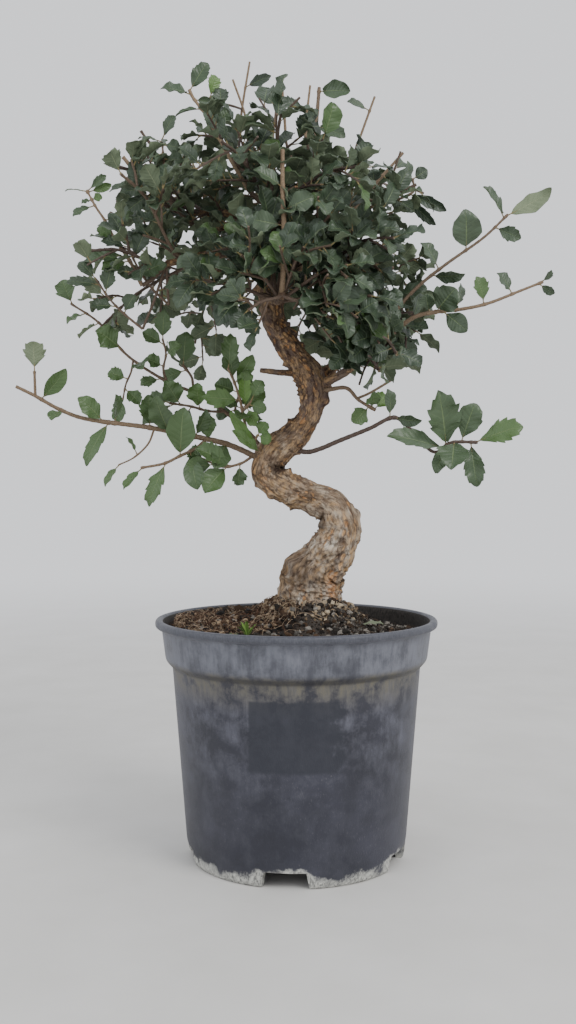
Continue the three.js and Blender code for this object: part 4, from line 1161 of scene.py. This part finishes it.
def add_leaf(shape, leaf, tone, across=LEAF_COLUMNS):
    """A thin closed blade with an upper and an under skin, and its stalk."""
    grid, spots, up = leaf_points(leaf, across)
    rows, columns = grid.shape[:2]
    total = rows * columns
    faces = []
    for a, b, c, d in grid_faces(rows, columns):
        faces += [(a, b, c, d), (total + a, total + d, total + c, total + b)]
    rim = [i * columns for i in range(rows)]
    rim += [(rows - 1) * columns + j for j in range(1, columns)]
    rim += [i * columns + columns - 1 for i in range(rows - 2, -1, -1)]
    rim += [j for j in range(columns - 2, 0, -1)]
    faces += [(a, b, total + b, total + a) for a, b in zip(rim, rim[1:] + rim[:1])]
    shade, young = tone
    tones = np.tile((shade, young, 0.0), (2 * total, 1))
    tones[total:, 2] = 1
    points = np.vstack([(grid + up * half).reshape(-1, 3) for half in (LEAF_SKIN / 2, -LEAF_SKIN / 2)])
    shape.add(points, faces, 0, np.tile(spots.reshape(-1, 2), (2, 1)), tones)
    middle = columns // 2
    stalk = Curve([leaf["root"], (leaf["root"] * 0.45 + grid[0, middle] * 0.55), grid[1, middle],
                   grid[2, middle]])
    radii = PETIOLE_RADIUS * np.array([1.25, 1.0, 0.9, 0.65, 0.3])
    points, faces = tube(stalk, radii, 4, 4)
    shape.add(points, faces, 1, tone=(0.8, 0.4 - 0.25 * draw(leaf["seed"], 18), 0))


def add_bud(shape, leaf, size):
    """A pointed bud beside a leaf's root."""
    direction = unit(leaf["tip"] - leaf["root"] + BUD_LIFT)
    other = unit(np.cross(direction, (0.3, 0.5, 0.8)))
    axes = np.array([other * size * 0.5, np.cross(direction, other) * size * 0.5, direction * size])
    points, faces = ellipsoid(leaf["root"] + direction * size * 0.8, axes, 6, 3)
    shape.add(points, faces, 1, tone=(0.8, 0.15, 0))


def add_twig(shape, curve, radii, warm, nodes_at, seed, cut=0.0):
    """A thin stem, a little swollen where leaves leave it, with a cut or budded end."""
    steps = max(int(curve.length / (1.4 if radii[0] > THIN_TWIG else 2.1)), 6)
    shares = np.linspace(0, 1, steps + 1)
    start, end = radii
    radius = start + (end - start) * shares
    for place in nodes_at:
        radius = radius + 0.28 * start**0.5 * np.exp(-(((shares - place) * curve.length / 1.1) ** 2))
    radius = radius * (1 + 0.05 * np.sin(shares * curve.length * 1.3 + seed))
    sides = 10 if start > THICK_TWIG else 7 if start > THIN_TWIG else 5
    points, faces = tube(curve, radius, sides, steps)
    tones = np.tile((warm, 0.0, 0.0), (len(points), 1))
    tones[-1, 2] = cut
    shape.add(points, faces, 1, tone=tones)


# Sprays


def stem_from(limb, share, tip):
    """A spray's stem, leaving its limb at a share of the limb's length."""
    curve = Curve(limb["points"])
    start, along, _, _ = (part[0] for part in curve.frames(share))
    tip = np.array(tip, float)
    length = np.linalg.norm(tip - start)
    first = start + along * length * 0.06
    first = first + (tip - first) * 0.16
    second = start + (tip - start) * 0.62
    second[2] += length * 0.07
    return {"points": [start, first, second, tip], "radii": TWIG_RADII}


def ruled_spray(limb, share, tip, shares, seed):
    return [{**stem_from(limb, share, tip), "shares": shares, "seed": seed}]


def tier_sprays(tier, tier_index):
    sprays = []
    for i, azimuth in enumerate(tier["azimuths"]):
        limb = tier_limb(tier, i)
        for j, share in enumerate((0.62, 1, 0.8)):
            seed = 100 * (tier_index + 1) + 15 * i + 5 * j
            reach = TIP_SHARE + 0.08 * draw(seed, 6)
            tip = crown_point(azimuth + tier["turns"][j], tier["elevations"][j], reach)
            sprays.append(ruled_spray(limb, share, tip, LEAFY_TO_THE_TIP, seed))
    return sprays


def top_sprays():
    sprays = []
    for i, fork in enumerate(TOP_FORKS):
        limb = top_limb(fork)
        for j, tip in enumerate(fork["tips"]):
            seed = 300 + 15 * i + 5 * j
            sprays.append(ruled_spray(limb, (0.55, 0.75, 1)[j], tip, BARE_TIP, seed))
    return sprays


def right_side_sprays():
    return [ruled_spray(OWN_LIMBS[limb], share, tip, LEAFY_TO_THE_TIP, 400 + 5 * i)
            for i, (limb, share, tip) in enumerate(RIGHT_SIDE_SPRAYS)]


def all_sprays():
    crown = [spray for i, tier in enumerate(TIERS) for spray in tier_sprays(tier, i)]
    crown += top_sprays() + right_side_sprays()
    named = {f"spray_{i + 1:02d}": stems for i, stems in enumerate(crown)}
    return {**OWN_SPRAYS, **named}


def solid_tree(name):
    """The corners of a node's plain solid, for finding which way each of its blades was turned."""
    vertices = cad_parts[name].data.vertices
    tree = kdtree.KDTree(len(vertices))
    for i, vertex in enumerate(vertices):
        tree.insert(vertex.co / MM, i)
    tree.balance()
    return tree


def blade_in_solid(tree, candidates):
    """The candidate whose tip is a corner of the plain solid."""
    gaps = [tree.find(leaf["tip"] + leaf_axes(leaf)[2] * BLADE / 2)[2] for leaf in candidates]
    return candidates[gaps.index(min(gaps))] if min(gaps) < 0.1 else candidates[0]


def stem_leaves(stem, curve, tree, seed):
    """A stem's leaves, each turned as in its solid."""
    if "leaves" in stem:
        turned = [[placed_leaf(curve, entry, turn, seed + i) for turn in range(LEAF_TRIES)]
                  for i, entry in enumerate(stem["leaves"])]
    else:
        turned = [[ruled_leaf(curve, share, stem["seed"] + i, turn) for turn in range(LEAF_TRIES)]
                  for i, share in enumerate(stem["shares"])]
    return [blade_in_solid(tree, candidates) for candidates in turned]


def leaf_tone(leaf, freshness, lift=0.0):
    """A leaf's shade and how young it looks."""
    seed = leaf["seed"]
    shade = 0.15 + 0.75 * draw(seed, 21) + lift
    young = freshness * (0.5 + 0.5 * draw(seed, 22))
    if draw(seed, 23) > 0.93:
        young += 0.35
    return shade, min(young, 1)


def side_twig(curve, share, seed):
    """A short side twig off a stem, leaning outwards and up."""
    lean = 0.75 + 0.35 * draw(seed, 41)
    point, along, direction = offshoot(curve, share, lean, GOLDEN_TURN * seed + 1.1, 0.1)
    length = drawn(SIDE_TWIG_LENGTH, seed, 42)
    middle = point + direction * length * 0.5
    middle[2] += 0.06 * length
    return Curve([point, middle, point + direction * length + along * 0.1 * length])


def make_spray(name, stems, materials):
    """A spray's fine leaves, twigs and buds, in place of its plain solid."""
    shape = Shape()
    tree = solid_tree(name)
    ruled = "seed" in stems[0]
    base_seed = stems[0]["seed"] if ruled else 1000 + 40 * list(OWN_SPRAYS).index(name)
    freshness = FRESHNESS.get(name, 0.06)
    warm = WARMTH.get(name, 0.05 + 0.35 * draw(base_seed, 24))
    redrawn = {shoot["node"]: i for i, shoot in enumerate(RIM_SHOOTS) if "node" in shoot}
    if name in redrawn:
        curve = add_shoot(shape, RIM_SHOOTS[redrawn[name]], redrawn[name])
        add_side_twigs(shape, curve, base_seed, warm, freshness, SIDE_TWIGS[:3])
        stems = []
    for index, stem in enumerate(stems):
        curve = Curve(stem["points"])
        leaves = stem_leaves(stem, curve, tree, base_seed + 12 * index)
        if ruled:
            shares = stem["shares"]
            leaves = [leaf for leaf in leaves if not hides_trunk(leaf) and not over_crown_line(leaf)
                      and not thinned_out(leaf)]
        else:
            shares = [entry[0] for entry in stem["leaves"]]
        add_twig(shape, curve, stem["radii"], warm, shares, base_seed, 1.0)
        for leaf in leaves:
            add_leaf(shape, leaf, leaf_tone(leaf, freshness, 0.0 if ruled else 0.5))
            add_bud(shape, leaf, 0.9)
        if ruled:
            add_side_twigs(shape, curve, base_seed, warm, freshness)
    piece = shape.make(f"{name}_fine", materials, 62)
    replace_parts(piece, name)


def hides_trunk(leaf):
    """Whether a leaf would hang in front of the top of the bare trunk."""
    x, y, z = (leaf["root"] + leaf["tip"]) / 2
    if y > 0 or not BARE_TRUNK_Z[0] < z < BARE_TRUNK_TOP:
        return False
    return abs(x - np.interp(z, BARE_TRUNK_Z, BARE_TRUNK_X)) < BARE_TRUNK_REACH


def over_crown_line(leaf):
    """Whether a leaf by rule reaches over the crown's rim."""
    x, _, z = leaf["tip"]
    return z > np.interp(x, CROWN_LINE_X, CROWN_LINE_Z)


def fits_crown(leaf):
    """Whether an extra leaf stays inside the crown's outline and clear of the bare trunk."""
    inside = crown_share(leaf["tip"] - CROWN_CENTRE) < CROWN_REACH
    return inside and not hides_trunk(leaf) and not over_crown_line(leaf)


def thinned_out(leaf):
    """Drops more and more leaves towards the crown's open left side."""
    x = leaf["tip"][0]
    return draw(leaf["seed"], 51) < OPEN_SHARE * float(smoothstep(-x, *OPEN_SIDE))


def add_side_twigs(shape, curve, base_seed, warm, freshness, shares=SIDE_TWIGS, across=INNER_COLUMNS):
    """Short leafy twigs off a stem, kept inside the crown."""
    for j, share in enumerate(shares):
        seed = 5000 + 11 * base_seed + 7 * j
        twig = side_twig(curve, share, seed)
        leaves = [ruled_leaf(twig, place, seed + 31 * k, 0, SIDE_LEAF_LENGTH)
                  for k, place in enumerate(SIDE_TWIG_LEAVES)]
        leaves = [leaf for leaf in leaves if fits_crown(leaf) and not thinned_out(leaf)]
        if len(leaves) < 2:
            continue
        add_twig(shape, twig, SIDE_TWIG_RADII, warm, SIDE_TWIG_LEAVES, seed)
        for leaf in leaves:
            add_leaf(shape, leaf, leaf_tone(leaf, freshness), across)


def nearest_on_limbs(point):
    """The place on the crown's limbs where a shoot that starts near a point leaves them."""
    crown_limbs = all_limbs()[list(OWN_LIMBS).index("front"):]
    places = np.vstack([Curve(limb["points"]).points(np.linspace(0.2, 1, 30)) for limb in crown_limbs])
    return places[np.linalg.norm(places - point, axis=1).argmin()]


def add_shoot(shape, shoot, seed):
    """A placed shoot with its leaves, from the nearest limb."""
    curve = Curve(shoot["points"])
    foot = np.array(shoot["points"][0], float)
    joint = nearest_on_limbs(foot)
    middle = (foot + joint) / 2
    middle[2] -= 2
    radius = shoot["radii"][0]
    add_twig(shape, Curve([joint, middle, foot]), (radius * 1.1, radius), 0.3, (), seed)
    places = [entry[0] for entry in shoot["leaves"]]
    add_twig(shape, curve, shoot["radii"], shoot["warm"], places, 40 + seed, 1.0)
    for k, entry in enumerate(shoot["leaves"]):
        leaf = placed_leaf(curve, entry, 0, 1500 + 20 * seed + k)
        add_leaf(shape, leaf, leaf_tone(leaf, shoot["fresh"], 0.2))
        add_bud(shape, leaf, 0.8)
    return curve


def make_rim_shoots(materials):
    """The shoots round the crown's rim that stand for no spray of the solids."""
    shape = Shape()
    for i, shoot in enumerate(RIM_SHOOTS):
        if "node" not in shoot:
            add_shoot(shape, shoot, i)
    shape.make("rim_shoots", materials, 62)


def make_inner_foliage(materials):
    """Leafy twigs on the limbs themselves, so that the middle of the crown is dense."""
    shape = Shape()
    shares = [0.3 + 0.14 * k for k in range(5)]
    # All limbs but the cut stub
    for i, limb in enumerate(all_limbs()[1:]):
        add_side_twigs(shape, Curve(limb["points"]), 700 + 9 * i, 0.3, 0.03, shares, LIMB_LEAF_COLUMNS)
    shape.make("limb_foliage", materials, 62)
    shape = Shape()
    for i, (limb, share, tip) in enumerate(INNER_STEMS):
        curve = Curve(stem_from(OWN_LIMBS[limb], share, tip)["points"])
        seed = 900 + 7 * i
        add_twig(shape, curve, TWIG_RADII, 0.3, LEAFY_TO_THE_TIP, seed, 0.5)
        for k, place in enumerate(LEAFY_TO_THE_TIP):
            leaf = ruled_leaf(curve, place, seed + 3 * k, 0)
            if fits_crown(leaf):
                add_leaf(shape, leaf, leaf_tone(leaf, 0.05))
        add_side_twigs(shape, curve, seed, 0.3, 0.05, (0.4, 0.62, 0.84))
    shape.make("front_foliage", materials, 62)


# Pot


def pot_profile():
    """The pot's outline from the middle of its underside, up the outside and down the inside."""
    inner = SHOULDER_RADIUS - WALL
    return [
        (0, 0), (SEAT_RADIUS - 1.2, 0), (SEAT_RADIUS, 0.35), (SEAT_RADIUS + 4, FOOT_HEIGHT),
        (FOOT_RADIUS - FOOT_WIDTH - 1.5, FOOT_HEIGHT), (FOOT_RADIUS - FOOT_WIDTH, 0.3),
        (FOOT_RADIUS - FOOT_WIDTH + 0.5, 0), (FOOT_RADIUS + 0.2, 0), (FOOT_RADIUS + 1.2, 0.6),
        (FOOT_RADIUS + 2.4, 3.2), (FOOT_RADIUS + 3.1, FOOT_HEIGHT - 0.6),
        (FOOT_RADIUS + 3.6, FOOT_HEIGHT + 2.5),
        (79, 70), (SHOULDER_RADIUS - 0.1, SHOULDER - 1.6), (SHOULDER_RADIUS + 0.5, SHOULDER - 0.1),
        (SHOULDER_RADIUS + 2.2, SHOULDER + 1.6), (BAND_BOTTOM_RADIUS - 0.7, BAND_BOTTOM - 1.2),
        (BAND_BOTTOM_RADIUS, BAND_BOTTOM + 0.6), (89.4, 144),
        (BAND_TOP_RADIUS - 0.1, POT_HEIGHT - LIP_HEIGHT - 2),
        (BAND_TOP_RADIUS + 0.8, POT_HEIGHT - LIP_HEIGHT - 0.7),
        (RIM_RADIUS - 1.2, POT_HEIGHT - LIP_HEIGHT), (RIM_RADIUS - 0.2, POT_HEIGHT - LIP_HEIGHT + 0.9),
        (RIM_RADIUS, POT_HEIGHT - 2.4), (RIM_RADIUS - 0.3, POT_HEIGHT - 1.0),
        (RIM_RADIUS - 1.4, POT_HEIGHT - 0.1), (RIM_RADIUS - LIP_WIDTH + 0.8, POT_HEIGHT),
        (RIM_RADIUS - LIP_WIDTH - 0.4, POT_HEIGHT - 0.8), (BAND_TOP_RADIUS - WALL, POT_HEIGHT - 3),
        (BAND_BOTTOM_RADIUS - WALL, BAND_BOTTOM + 1), (inner, SHOULDER + 1.2),
        (FOOT_RADIUS + 1.6, FLOOR), (SEAT_RADIUS + 3, FLOOR), (SEAT_RADIUS - 1, FLOOR_THICKNESS),
        (0, FLOOR_THICKNESS),
    ]


def rounded_profile(profile):
    """The profile with each corner cut a little, so that it reads as moulded."""
    points = [np.array(point, float) for point in profile]
    smoother = [points[0]]
    for a, b in zip(points, points[1:]):
        cut = min(0.25, 1.2 / np.linalg.norm(b - a))
        smoother += [a + (b - a) * cut, b - (b - a) * cut]
    return np.array(smoother + [points[-1]])


def notch_lift(angles):
    """How far the foot's lower edge is lifted at each angle: its notches, with sloping sides."""
    lift = np.zeros(len(angles))
    half = math.asin(NOTCH_WIDTH / 2 / FOOT_RADIUS)
    slope = 2.2 / FOOT_RADIUS
    for i in range(NOTCHES):
        middle = math.radians(FIRST_NOTCH_DEGREES + 360 / NOTCHES * i)
        apart = np.abs((angles - middle + math.pi) % (2 * math.pi) - math.pi)
        lift = np.maximum(lift, NOTCH_HEIGHT * (1 - smoothstep(apart, half - slope, half)))
    return lift


def make_pot(material):
    profile = rounded_profile(pot_profile())
    radius, height = profile[1:-1].T
    angles = np.linspace(-math.pi, math.pi, POT_SEGMENTS * 2, endpoint=False)
    lift = notch_lift(angles)
    rings = []
    for r, z in zip(radius, height):
        in_foot = r > SEAT_RADIUS + 6 and z < FOOT_HEIGHT + 0.01
        level = np.maximum(z, lift) if in_foot else np.full(len(angles), z)
        wobble = 0.35 * np.sin(2 * angles + 0.6) * smoothstep(z, 60, 150)
        wide = r + wobble * (r > 60)
        rings.append(np.stack([wide * np.cos(angles), wide * np.sin(angles), level], -1))
    points = np.vstack([*rings, [(0, 0, profile[0][1]), (0, 0, profile[-1][1])]])
    inside = np.arange(len(rings)) > np.argmax(height) + 2
    inside = np.concatenate([np.repeat(inside, len(angles)), [0, 1]])
    shape = Shape()
    shape.add(points, ring_faces(len(rings), len(angles)), tone=np.outer(inside, (1, 0, 0)))
    piece = shape.make("pot_shell", [material], 35)
    cut_drains(piece)
    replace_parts(piece, "pot")


def cut_drains(pot):
    """Cuts the drain holes through the pot's floor."""
    shape = Shape()
    deep, wide = DRAIN_SIZE
    for i in range(NOTCHES):
        turn = math.radians(FIRST_NOTCH_DEGREES + 360 / NOTCHES * i)
        away = np.array([math.cos(turn), math.sin(turn), 0])
        beside = np.array([-math.sin(turn), math.cos(turn), 0])
        corners = [away * (DRAIN_RADIUS + a * deep / 2) + beside * b * wide / 2 + (0, 0, FLOOR - 1 + c)
                   for c in (-3, 3) for a, b in ((-1, -1), (1, -1), (1, 1), (-1, 1))]
        faces = [(3, 2, 1, 0), (4, 5, 6, 7), (0, 1, 5, 4), (1, 2, 6, 5), (2, 3, 7, 6), (3, 0, 4, 7)]
        shape.add(corners, faces)
    cutter = shape.make("drain_cutter", [])
    cut = pot.modifiers.new("drains", "BOOLEAN")
    cut.operation = "DIFFERENCE"
    cut.solver = "EXACT"
    cut.object = cutter
    bpy.context.view_layer.update()
    pot.data = bpy.data.meshes.new_from_object(pot.evaluated_get(bpy.context.evaluated_depsgraph_get()))
    pot.modifiers.clear()
    bpy.data.objects.remove(cutter)


# Soil


def soil_level(x, y):
    """The soil's plain height before lumps, in millimetres."""
    apart = np.hypot(x - TRUNK[0][0], y - TRUNK[0][1])
    mound = MOUND_HEIGHT * np.exp(-((apart / MOUND_REACH) ** 2))
    lumps = 0.8 * np.sin(x / 6.1 + y / 8.3) + 0.7 * np.sin(y / 5.3 - x / 11.7)
    return SOIL_LEVEL + SOIL_SLOPE * x + mound + lumps


def soil_lumps(x, y):
    """Fine crumbs and hollows on the soil."""
    place = Vector((x / 7, y / 7, 3.1))
    coarse = noise.fractal(place, 0.8, 2.1, 5)
    fine = noise.fractal(place * 4.2, 0.7, 2.3, 3)
    return 1.5 * coarse + 0.9 * fine


def fibre_share(x, y):
    """How fibrous and reddish the peat is: more on the left, black on the right."""
    drift = noise.noise(Vector((x / 16, y / 16, 8.4)))
    return float(smoothstep(np.array(-x / 70 + 0.15 + 0.9 * drift), -0.35, 0.75))


def surface_height(x, y):
    rim = float(smoothstep(np.array(math.hypot(x, y)), SOIL_RADIUS - 1, SOIL_RADIUS - 9))
    rise = 4.2 * math.exp(-(((x + 44) / 34) ** 2) - ((y - 22) / 40) ** 2)
    ring = math.hypot(x - TRUNK[0][0], y - TRUNK[0][1])
    rise += 2.4 * math.exp(-(((ring - 26) / 7) ** 2))
    return float(soil_level(x, y)) + (rise + soil_lumps(x, y)) * rim


def on_soil(x, y, lift=0.0):
    return np.array([x, y, surface_height(x, y) + lift])


def make_soil(material):
    """The soil's lumpy top, and its plain body down to the pot's floor."""
    angles = np.linspace(0, 2 * math.pi, SOIL_SEGMENTS, endpoint=False)
    low_rings = [(SEAT_RADIUS - 1.4, FLOOR_THICKNESS + SOIL_GAP), (SEAT_RADIUS + 2.6, FLOOR + SOIL_GAP),
                 (FOOT_RADIUS + 1, FLOOR + SOIL_GAP), (SHOULDER_RADIUS - WALL - 0.6, SHOULDER + 1.4),
                 (BAND_BOTTOM_RADIUS - WALL - 0.6, BAND_BOTTOM + 1.4)]
    points = [(r * math.cos(a), r * math.sin(a), z) for r, z in low_rings for a in angles]
    points += [on_soil(r * math.cos(a), r * math.sin(a)) for r in np.linspace(SOIL_RADIUS, 1.5, SOIL_RINGS)
               for a in angles]
    points += [(0, 0, FLOOR_THICKNESS + SOIL_GAP), on_soil(0, 0)]
    shape = Shape()
    shape.add(points, ring_faces(len(low_rings) + SOIL_RINGS, SOIL_SEGMENTS),
              tone=[(fibre_share(x, y), 0, 0) for x, y, _ in points])
    piece = shape.make("soil_body", [material], 80)
    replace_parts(piece, "soil")


def soil_spot(seed, kind, centre=(0, 0), reach=None):
    """A drawn place on the soil, inside the rim, with its height."""
    reach = SOIL_RADIUS - 6 if reach is None else reach
    turn = 2 * math.pi * draw(seed, kind)
    away = reach * math.sqrt(draw(seed, kind + 1))
    x = centre[0] + away * math.cos(turn)
    y = centre[1] + away * math.sin(turn)
    limit = SOIL_RADIUS - 5
    size = math.hypot(x, y)
    if size > limit:
        x, y = x * limit / size, y * limit / size
    return on_soil(x, y)


def random_axes(seed, kind, sizes):
    """Three half axes of given sizes, turned at random."""
    first, second, third = (Matrix.Rotation(TURN * draw(seed, kind + i), 3, axis)
                            for i, axis in enumerate("ZXY"))
    return np.array(first @ second @ third).T * np.array(sizes)[:, None]


def add_grains(shape, count, kind, sizes, colours, centre=(0, 0), reach=None, sink=0.3):
    """Small lumps strewn on the soil."""
    for i in range(count):
        spot = soil_spot(i, kind, centre, reach)
        size = sizes[0] + (sizes[1] - sizes[0]) * draw(i, kind + 2) ** 2
        stretch = (1, 0.6 + 0.35 * draw(i, kind + 3), 0.45 + 0.4 * draw(i, kind + 4))
        axes = random_axes(i, kind + 5, [size * part for part in stretch])
        points, faces = ellipsoid(spot + (0, 0, size * (0.5 - sink)), axes, 5, 2)
        jitter = np.array([draw(i * 13 + k, kind + 9) - 0.5 for k in range(len(points))])
        points = points + (points - spot) * jitter[:, None] * 0.5
        low, high = colours[int(draw(i, kind + 8) * len(colours))]
        shade = draw(i, kind + 10)
        tone = np.array(low) + (np.array(high) - np.array(low)) * shade
        shape.add(points, faces, 0, tone=tone)


def add_fibres(shape, count, kind, lengths, colour, centre, reach, radius=0.22, rise=1.5):
    """Thin bent fibres and rootlets lying on the soil."""
    for i in range(count):
        start = soil_spot(i, kind, centre, reach)
        turn = TURN * draw(i, kind + 2)
        length = drawn(lengths, i, kind + 3)
        line = []
        place = start[:2].copy()
        for k in range(5):
            limit = min(1, (SOIL_RADIUS - 4) / max(np.linalg.norm(place), 1))
            x, y = place * limit
            lift = 0.3 + rise * draw(i * 7 + k, kind + 4)
            line.append(on_soil(x, y, lift))
            turn += 1.1 * (draw(i * 5 + k, kind + 5) - 0.5)
            place = place + np.array([math.cos(turn), math.sin(turn)]) * length / 4
        shade = 0.5 + draw(i, kind + 6)
        points, faces = tube(Curve(line), np.linspace(radius, radius * 0.5, 7), 4, 6)
        shape.add(points, faces, 0, tone=tuple(min(part * shade, 1) for part in colour))


def make_soil_bits(material):
    """Crumbs, fibres, lumps and rootlets strewn on the soil."""
    black = ((0.011, 0.009, 0.008), (0.045, 0.037, 0.03))
    brown = ((0.03, 0.018, 0.011), (0.11, 0.065, 0.038))
    straw = ((0.14, 0.095, 0.058), (0.38, 0.28, 0.18))
    beige = ((0.26, 0.19, 0.12), (0.58, 0.48, 0.34))
    ashen = ((0.09, 0.082, 0.073), (0.34, 0.31, 0.27))
    root = (TRUNK[0][0], TRUNK[0][1])
    shape = Shape()
    add_grains(shape, 1600, 100, (0.6, 3.2), (black, black, brown, ashen))
    add_grains(shape, 900, 110, (0.5, 1.7), (ashen, ashen, black), (52, -12), 42, 0.1)
    add_grains(shape, 900, 120, (0.6, 3.2), (black, brown, straw), (-45, -8), 44)
    add_grains(shape, 900, 140, (0.5, 2.1), (beige, straw, brown, black), root, 40)
    add_grains(shape, 520, 150, (0.9, 2.7), (beige, beige, straw, ashen, brown), root, 31, 0.1)
    add_grains(shape, 22, 170, (3.0, 5.5), (black, brown), (-40, 26), 48, 0.0)
    # A dark nub of root
    points, faces = ellipsoid(on_soil(-29, 34, 4.5), random_axes(5, 290, (1.7, 2.0, 5.5)), 7, 3)
    shape.add(points, faces, 0, tone=(0.02, 0.014, 0.012))
    shape.make("soil_crumbs", [material], 30)
    shape = Shape()
    add_fibres(shape, 400, 200, (6, 17), (0.11, 0.06, 0.038), (-46, -5), 44, 0.24, 3.4)
    add_fibres(shape, 260, 220, (7, 19), (0.42, 0.31, 0.21), (-38, -5), 50, 0.16, 4.2)
    add_fibres(shape, 130, 230, (6, 16), (0.07, 0.05, 0.036), (45, -10), 42, 0.24, 2.6)
    add_fibres(shape, 80, 240, (3, 7), (0.36, 0.27, 0.17), root, 34, 0.34, 1.6)
    shape.make("soil_fibres", [material], 30)


def add_flat_blade(shape, root, tip, width, face, colour, seed):
    """A thin blade on the soil, such as a dry leaf."""
    leaf = {"root": root, "tip": tip, "width": width, "face": np.array(face), "seed": seed}
    grid, spots, _ = leaf_points(leaf)
    shape.add(grid, grid_faces(*grid.shape[:2]), 0, spots.reshape(-1, 2), colour)


def make_soil_finds(material):
    """A weed, fallen leaf bits and pale chips that lie on the soil."""
    bits = Shape()
    fallen = [((41, -22), 12, 17, 5, (0.2, 0.23, 0.15)), ((58, -30), -24, 13, 5, (0.16, 0.2, 0.12)),
              ((-47, -60), 20, 12, 6, (0.1, 0.13, 0.07))]
    for i, (place, degrees, length, width, colour) in enumerate(fallen):
        root = on_soil(*place, 1.2)
        turn = math.radians(degrees)
        tip = root + np.array([math.cos(turn), math.sin(turn), 0]) * length + (0, 0, 0.8)
        add_flat_blade(bits, root, tip, width, (0.15, -0.25, 1), colour, 901 + i)
    for i, (x, y, size) in enumerate(((62, -56, 3.1), (55, -38, 2.0), (-22, -30, 1.4))):
        axes = random_axes(i, 300, (size, size * 0.8, size * 0.6))
        points, faces = ellipsoid(on_soil(x, y, size * 0.4), axes, 7, 4)
        bits.add(points, faces, tone=(0.6, 0.58, 0.53))
    bits.make("soil_chips", [material], 30)
    weed = Shape()
    foot = on_soil(-31, -56)
    for i in range(9):
        turn = 0.7 * i + 0.4
        spread = 0.3 + 0.5 * draw(i, 311)
        away = np.array([math.cos(turn) * spread, math.sin(turn) * spread, 1.0])
        tip = foot + unit(away) * (9 + 5 * draw(i, 310))
        bright = 0.7 + 0.6 * draw(i, 312)
        green = (0.16 * bright, 0.28 * bright, 0.06 * bright)
        add_flat_blade(weed, foot, tip, 2.0, (-away[0], -away[1], 0.9), green, 930 + i)
    weed.make("soil_weed", [material], 60)


# Stage


def make_camera():
    data = bpy.data.cameras.new("camera")
    data.sensor_width = SENSOR
    data.lens = FOCAL_PIXELS / IMAGE_HEIGHT * SENSOR
    data.clip_start = 0.01
    camera = bpy.data.objects.new("camera", data)
    camera.location = [part * MM for part in CAMERA_PLACE]
    camera.rotation_euler = (math.pi / 2 - CAMERA_PITCH, 0, 0)
    bpy.context.scene.collection.objects.link(camera)
    bpy.context.scene.camera = camera


def area_light(name, place, target, size, watts, colour):
    data = bpy.data.lights.new(name, "AREA")
    data.shape = "DISK"
    data.size = size
    data.energy = watts
    data.color = colour
    light = bpy.data.objects.new(name, data)
    light.location = place
    light.rotation_euler = (Vector(target) - Vector(place)).to_track_quat("-Z", "Y").to_euler()
    bpy.context.scene.collection.objects.link(light)


def make_stage():
    """A pale floor that fades into an even pale surround, and soft light."""
    nodes = Nodes("pale_floor")
    place = nodes.place()
    grain = nodes.noise(place, 0.012, 4)
    colour = nodes.ramp(grain, (0.3, (0.6, 0.59, 0.565)), (0.7, (0.66, 0.65, 0.63)))
    material = nodes.finish(colour, 0.75, None, 0, 0.3)
    glow = nodes.new("ShaderNodeEmission", {"Color": SURROUND, "Strength": SURROUND_STRENGTH})
    inputs = {0: nodes.near(place, (0, 0, 0), 450, 2300), 1: glow.outputs[0], 2: nodes.shader.outputs[0]}
    fade = nodes.new("ShaderNodeMixShader", inputs)
    nodes.link(fade.outputs[0], nodes.output.inputs["Surface"])
    half = FLOOR_HALF_METRES
    mesh = bpy.data.meshes.new("floor")
    mesh.from_pydata([(-half, -half, 0), (half, -half, 0), (half, half, 0), (-half, half, 0)], [],
                     [(0, 1, 2, 3)])
    mesh.materials.append(material)
    floor = bpy.data.objects.new("floor", mesh)
    bpy.context.scene.collection.objects.link(floor)
    world = bpy.data.worlds.new("studio")
    world.use_nodes = True
    background = world.node_tree.nodes["Background"]
    background.inputs["Color"].default_value = (*SURROUND, 1)
    background.inputs["Strength"].default_value = SURROUND_STRENGTH
    bpy.context.scene.world = world
    area_light("key", (1.0, -1.1, 1.5), (0, 0, 0.28), 0.9, 20, (1, 0.985, 0.96))
    area_light("fill", (-1.3, -0.8, 0.9), (0, 0, 0.25), 1.3, 5, (0.93, 0.96, 1))


def main():
    make_camera()
    make_stage()
    foliage = [leaf_material(), twig_material()]
    bits = crumb_material()
    make_pot(pot_material())
    make_soil(soil_material())
    make_soil_bits(bits)
    make_soil_finds(bits)
    make_trunk(bark_material())
    make_inner_foliage(foliage)
    make_rim_shoots(foliage)
    for name, stems in all_sprays().items():
        make_spray(name, stems, foliage)


main()
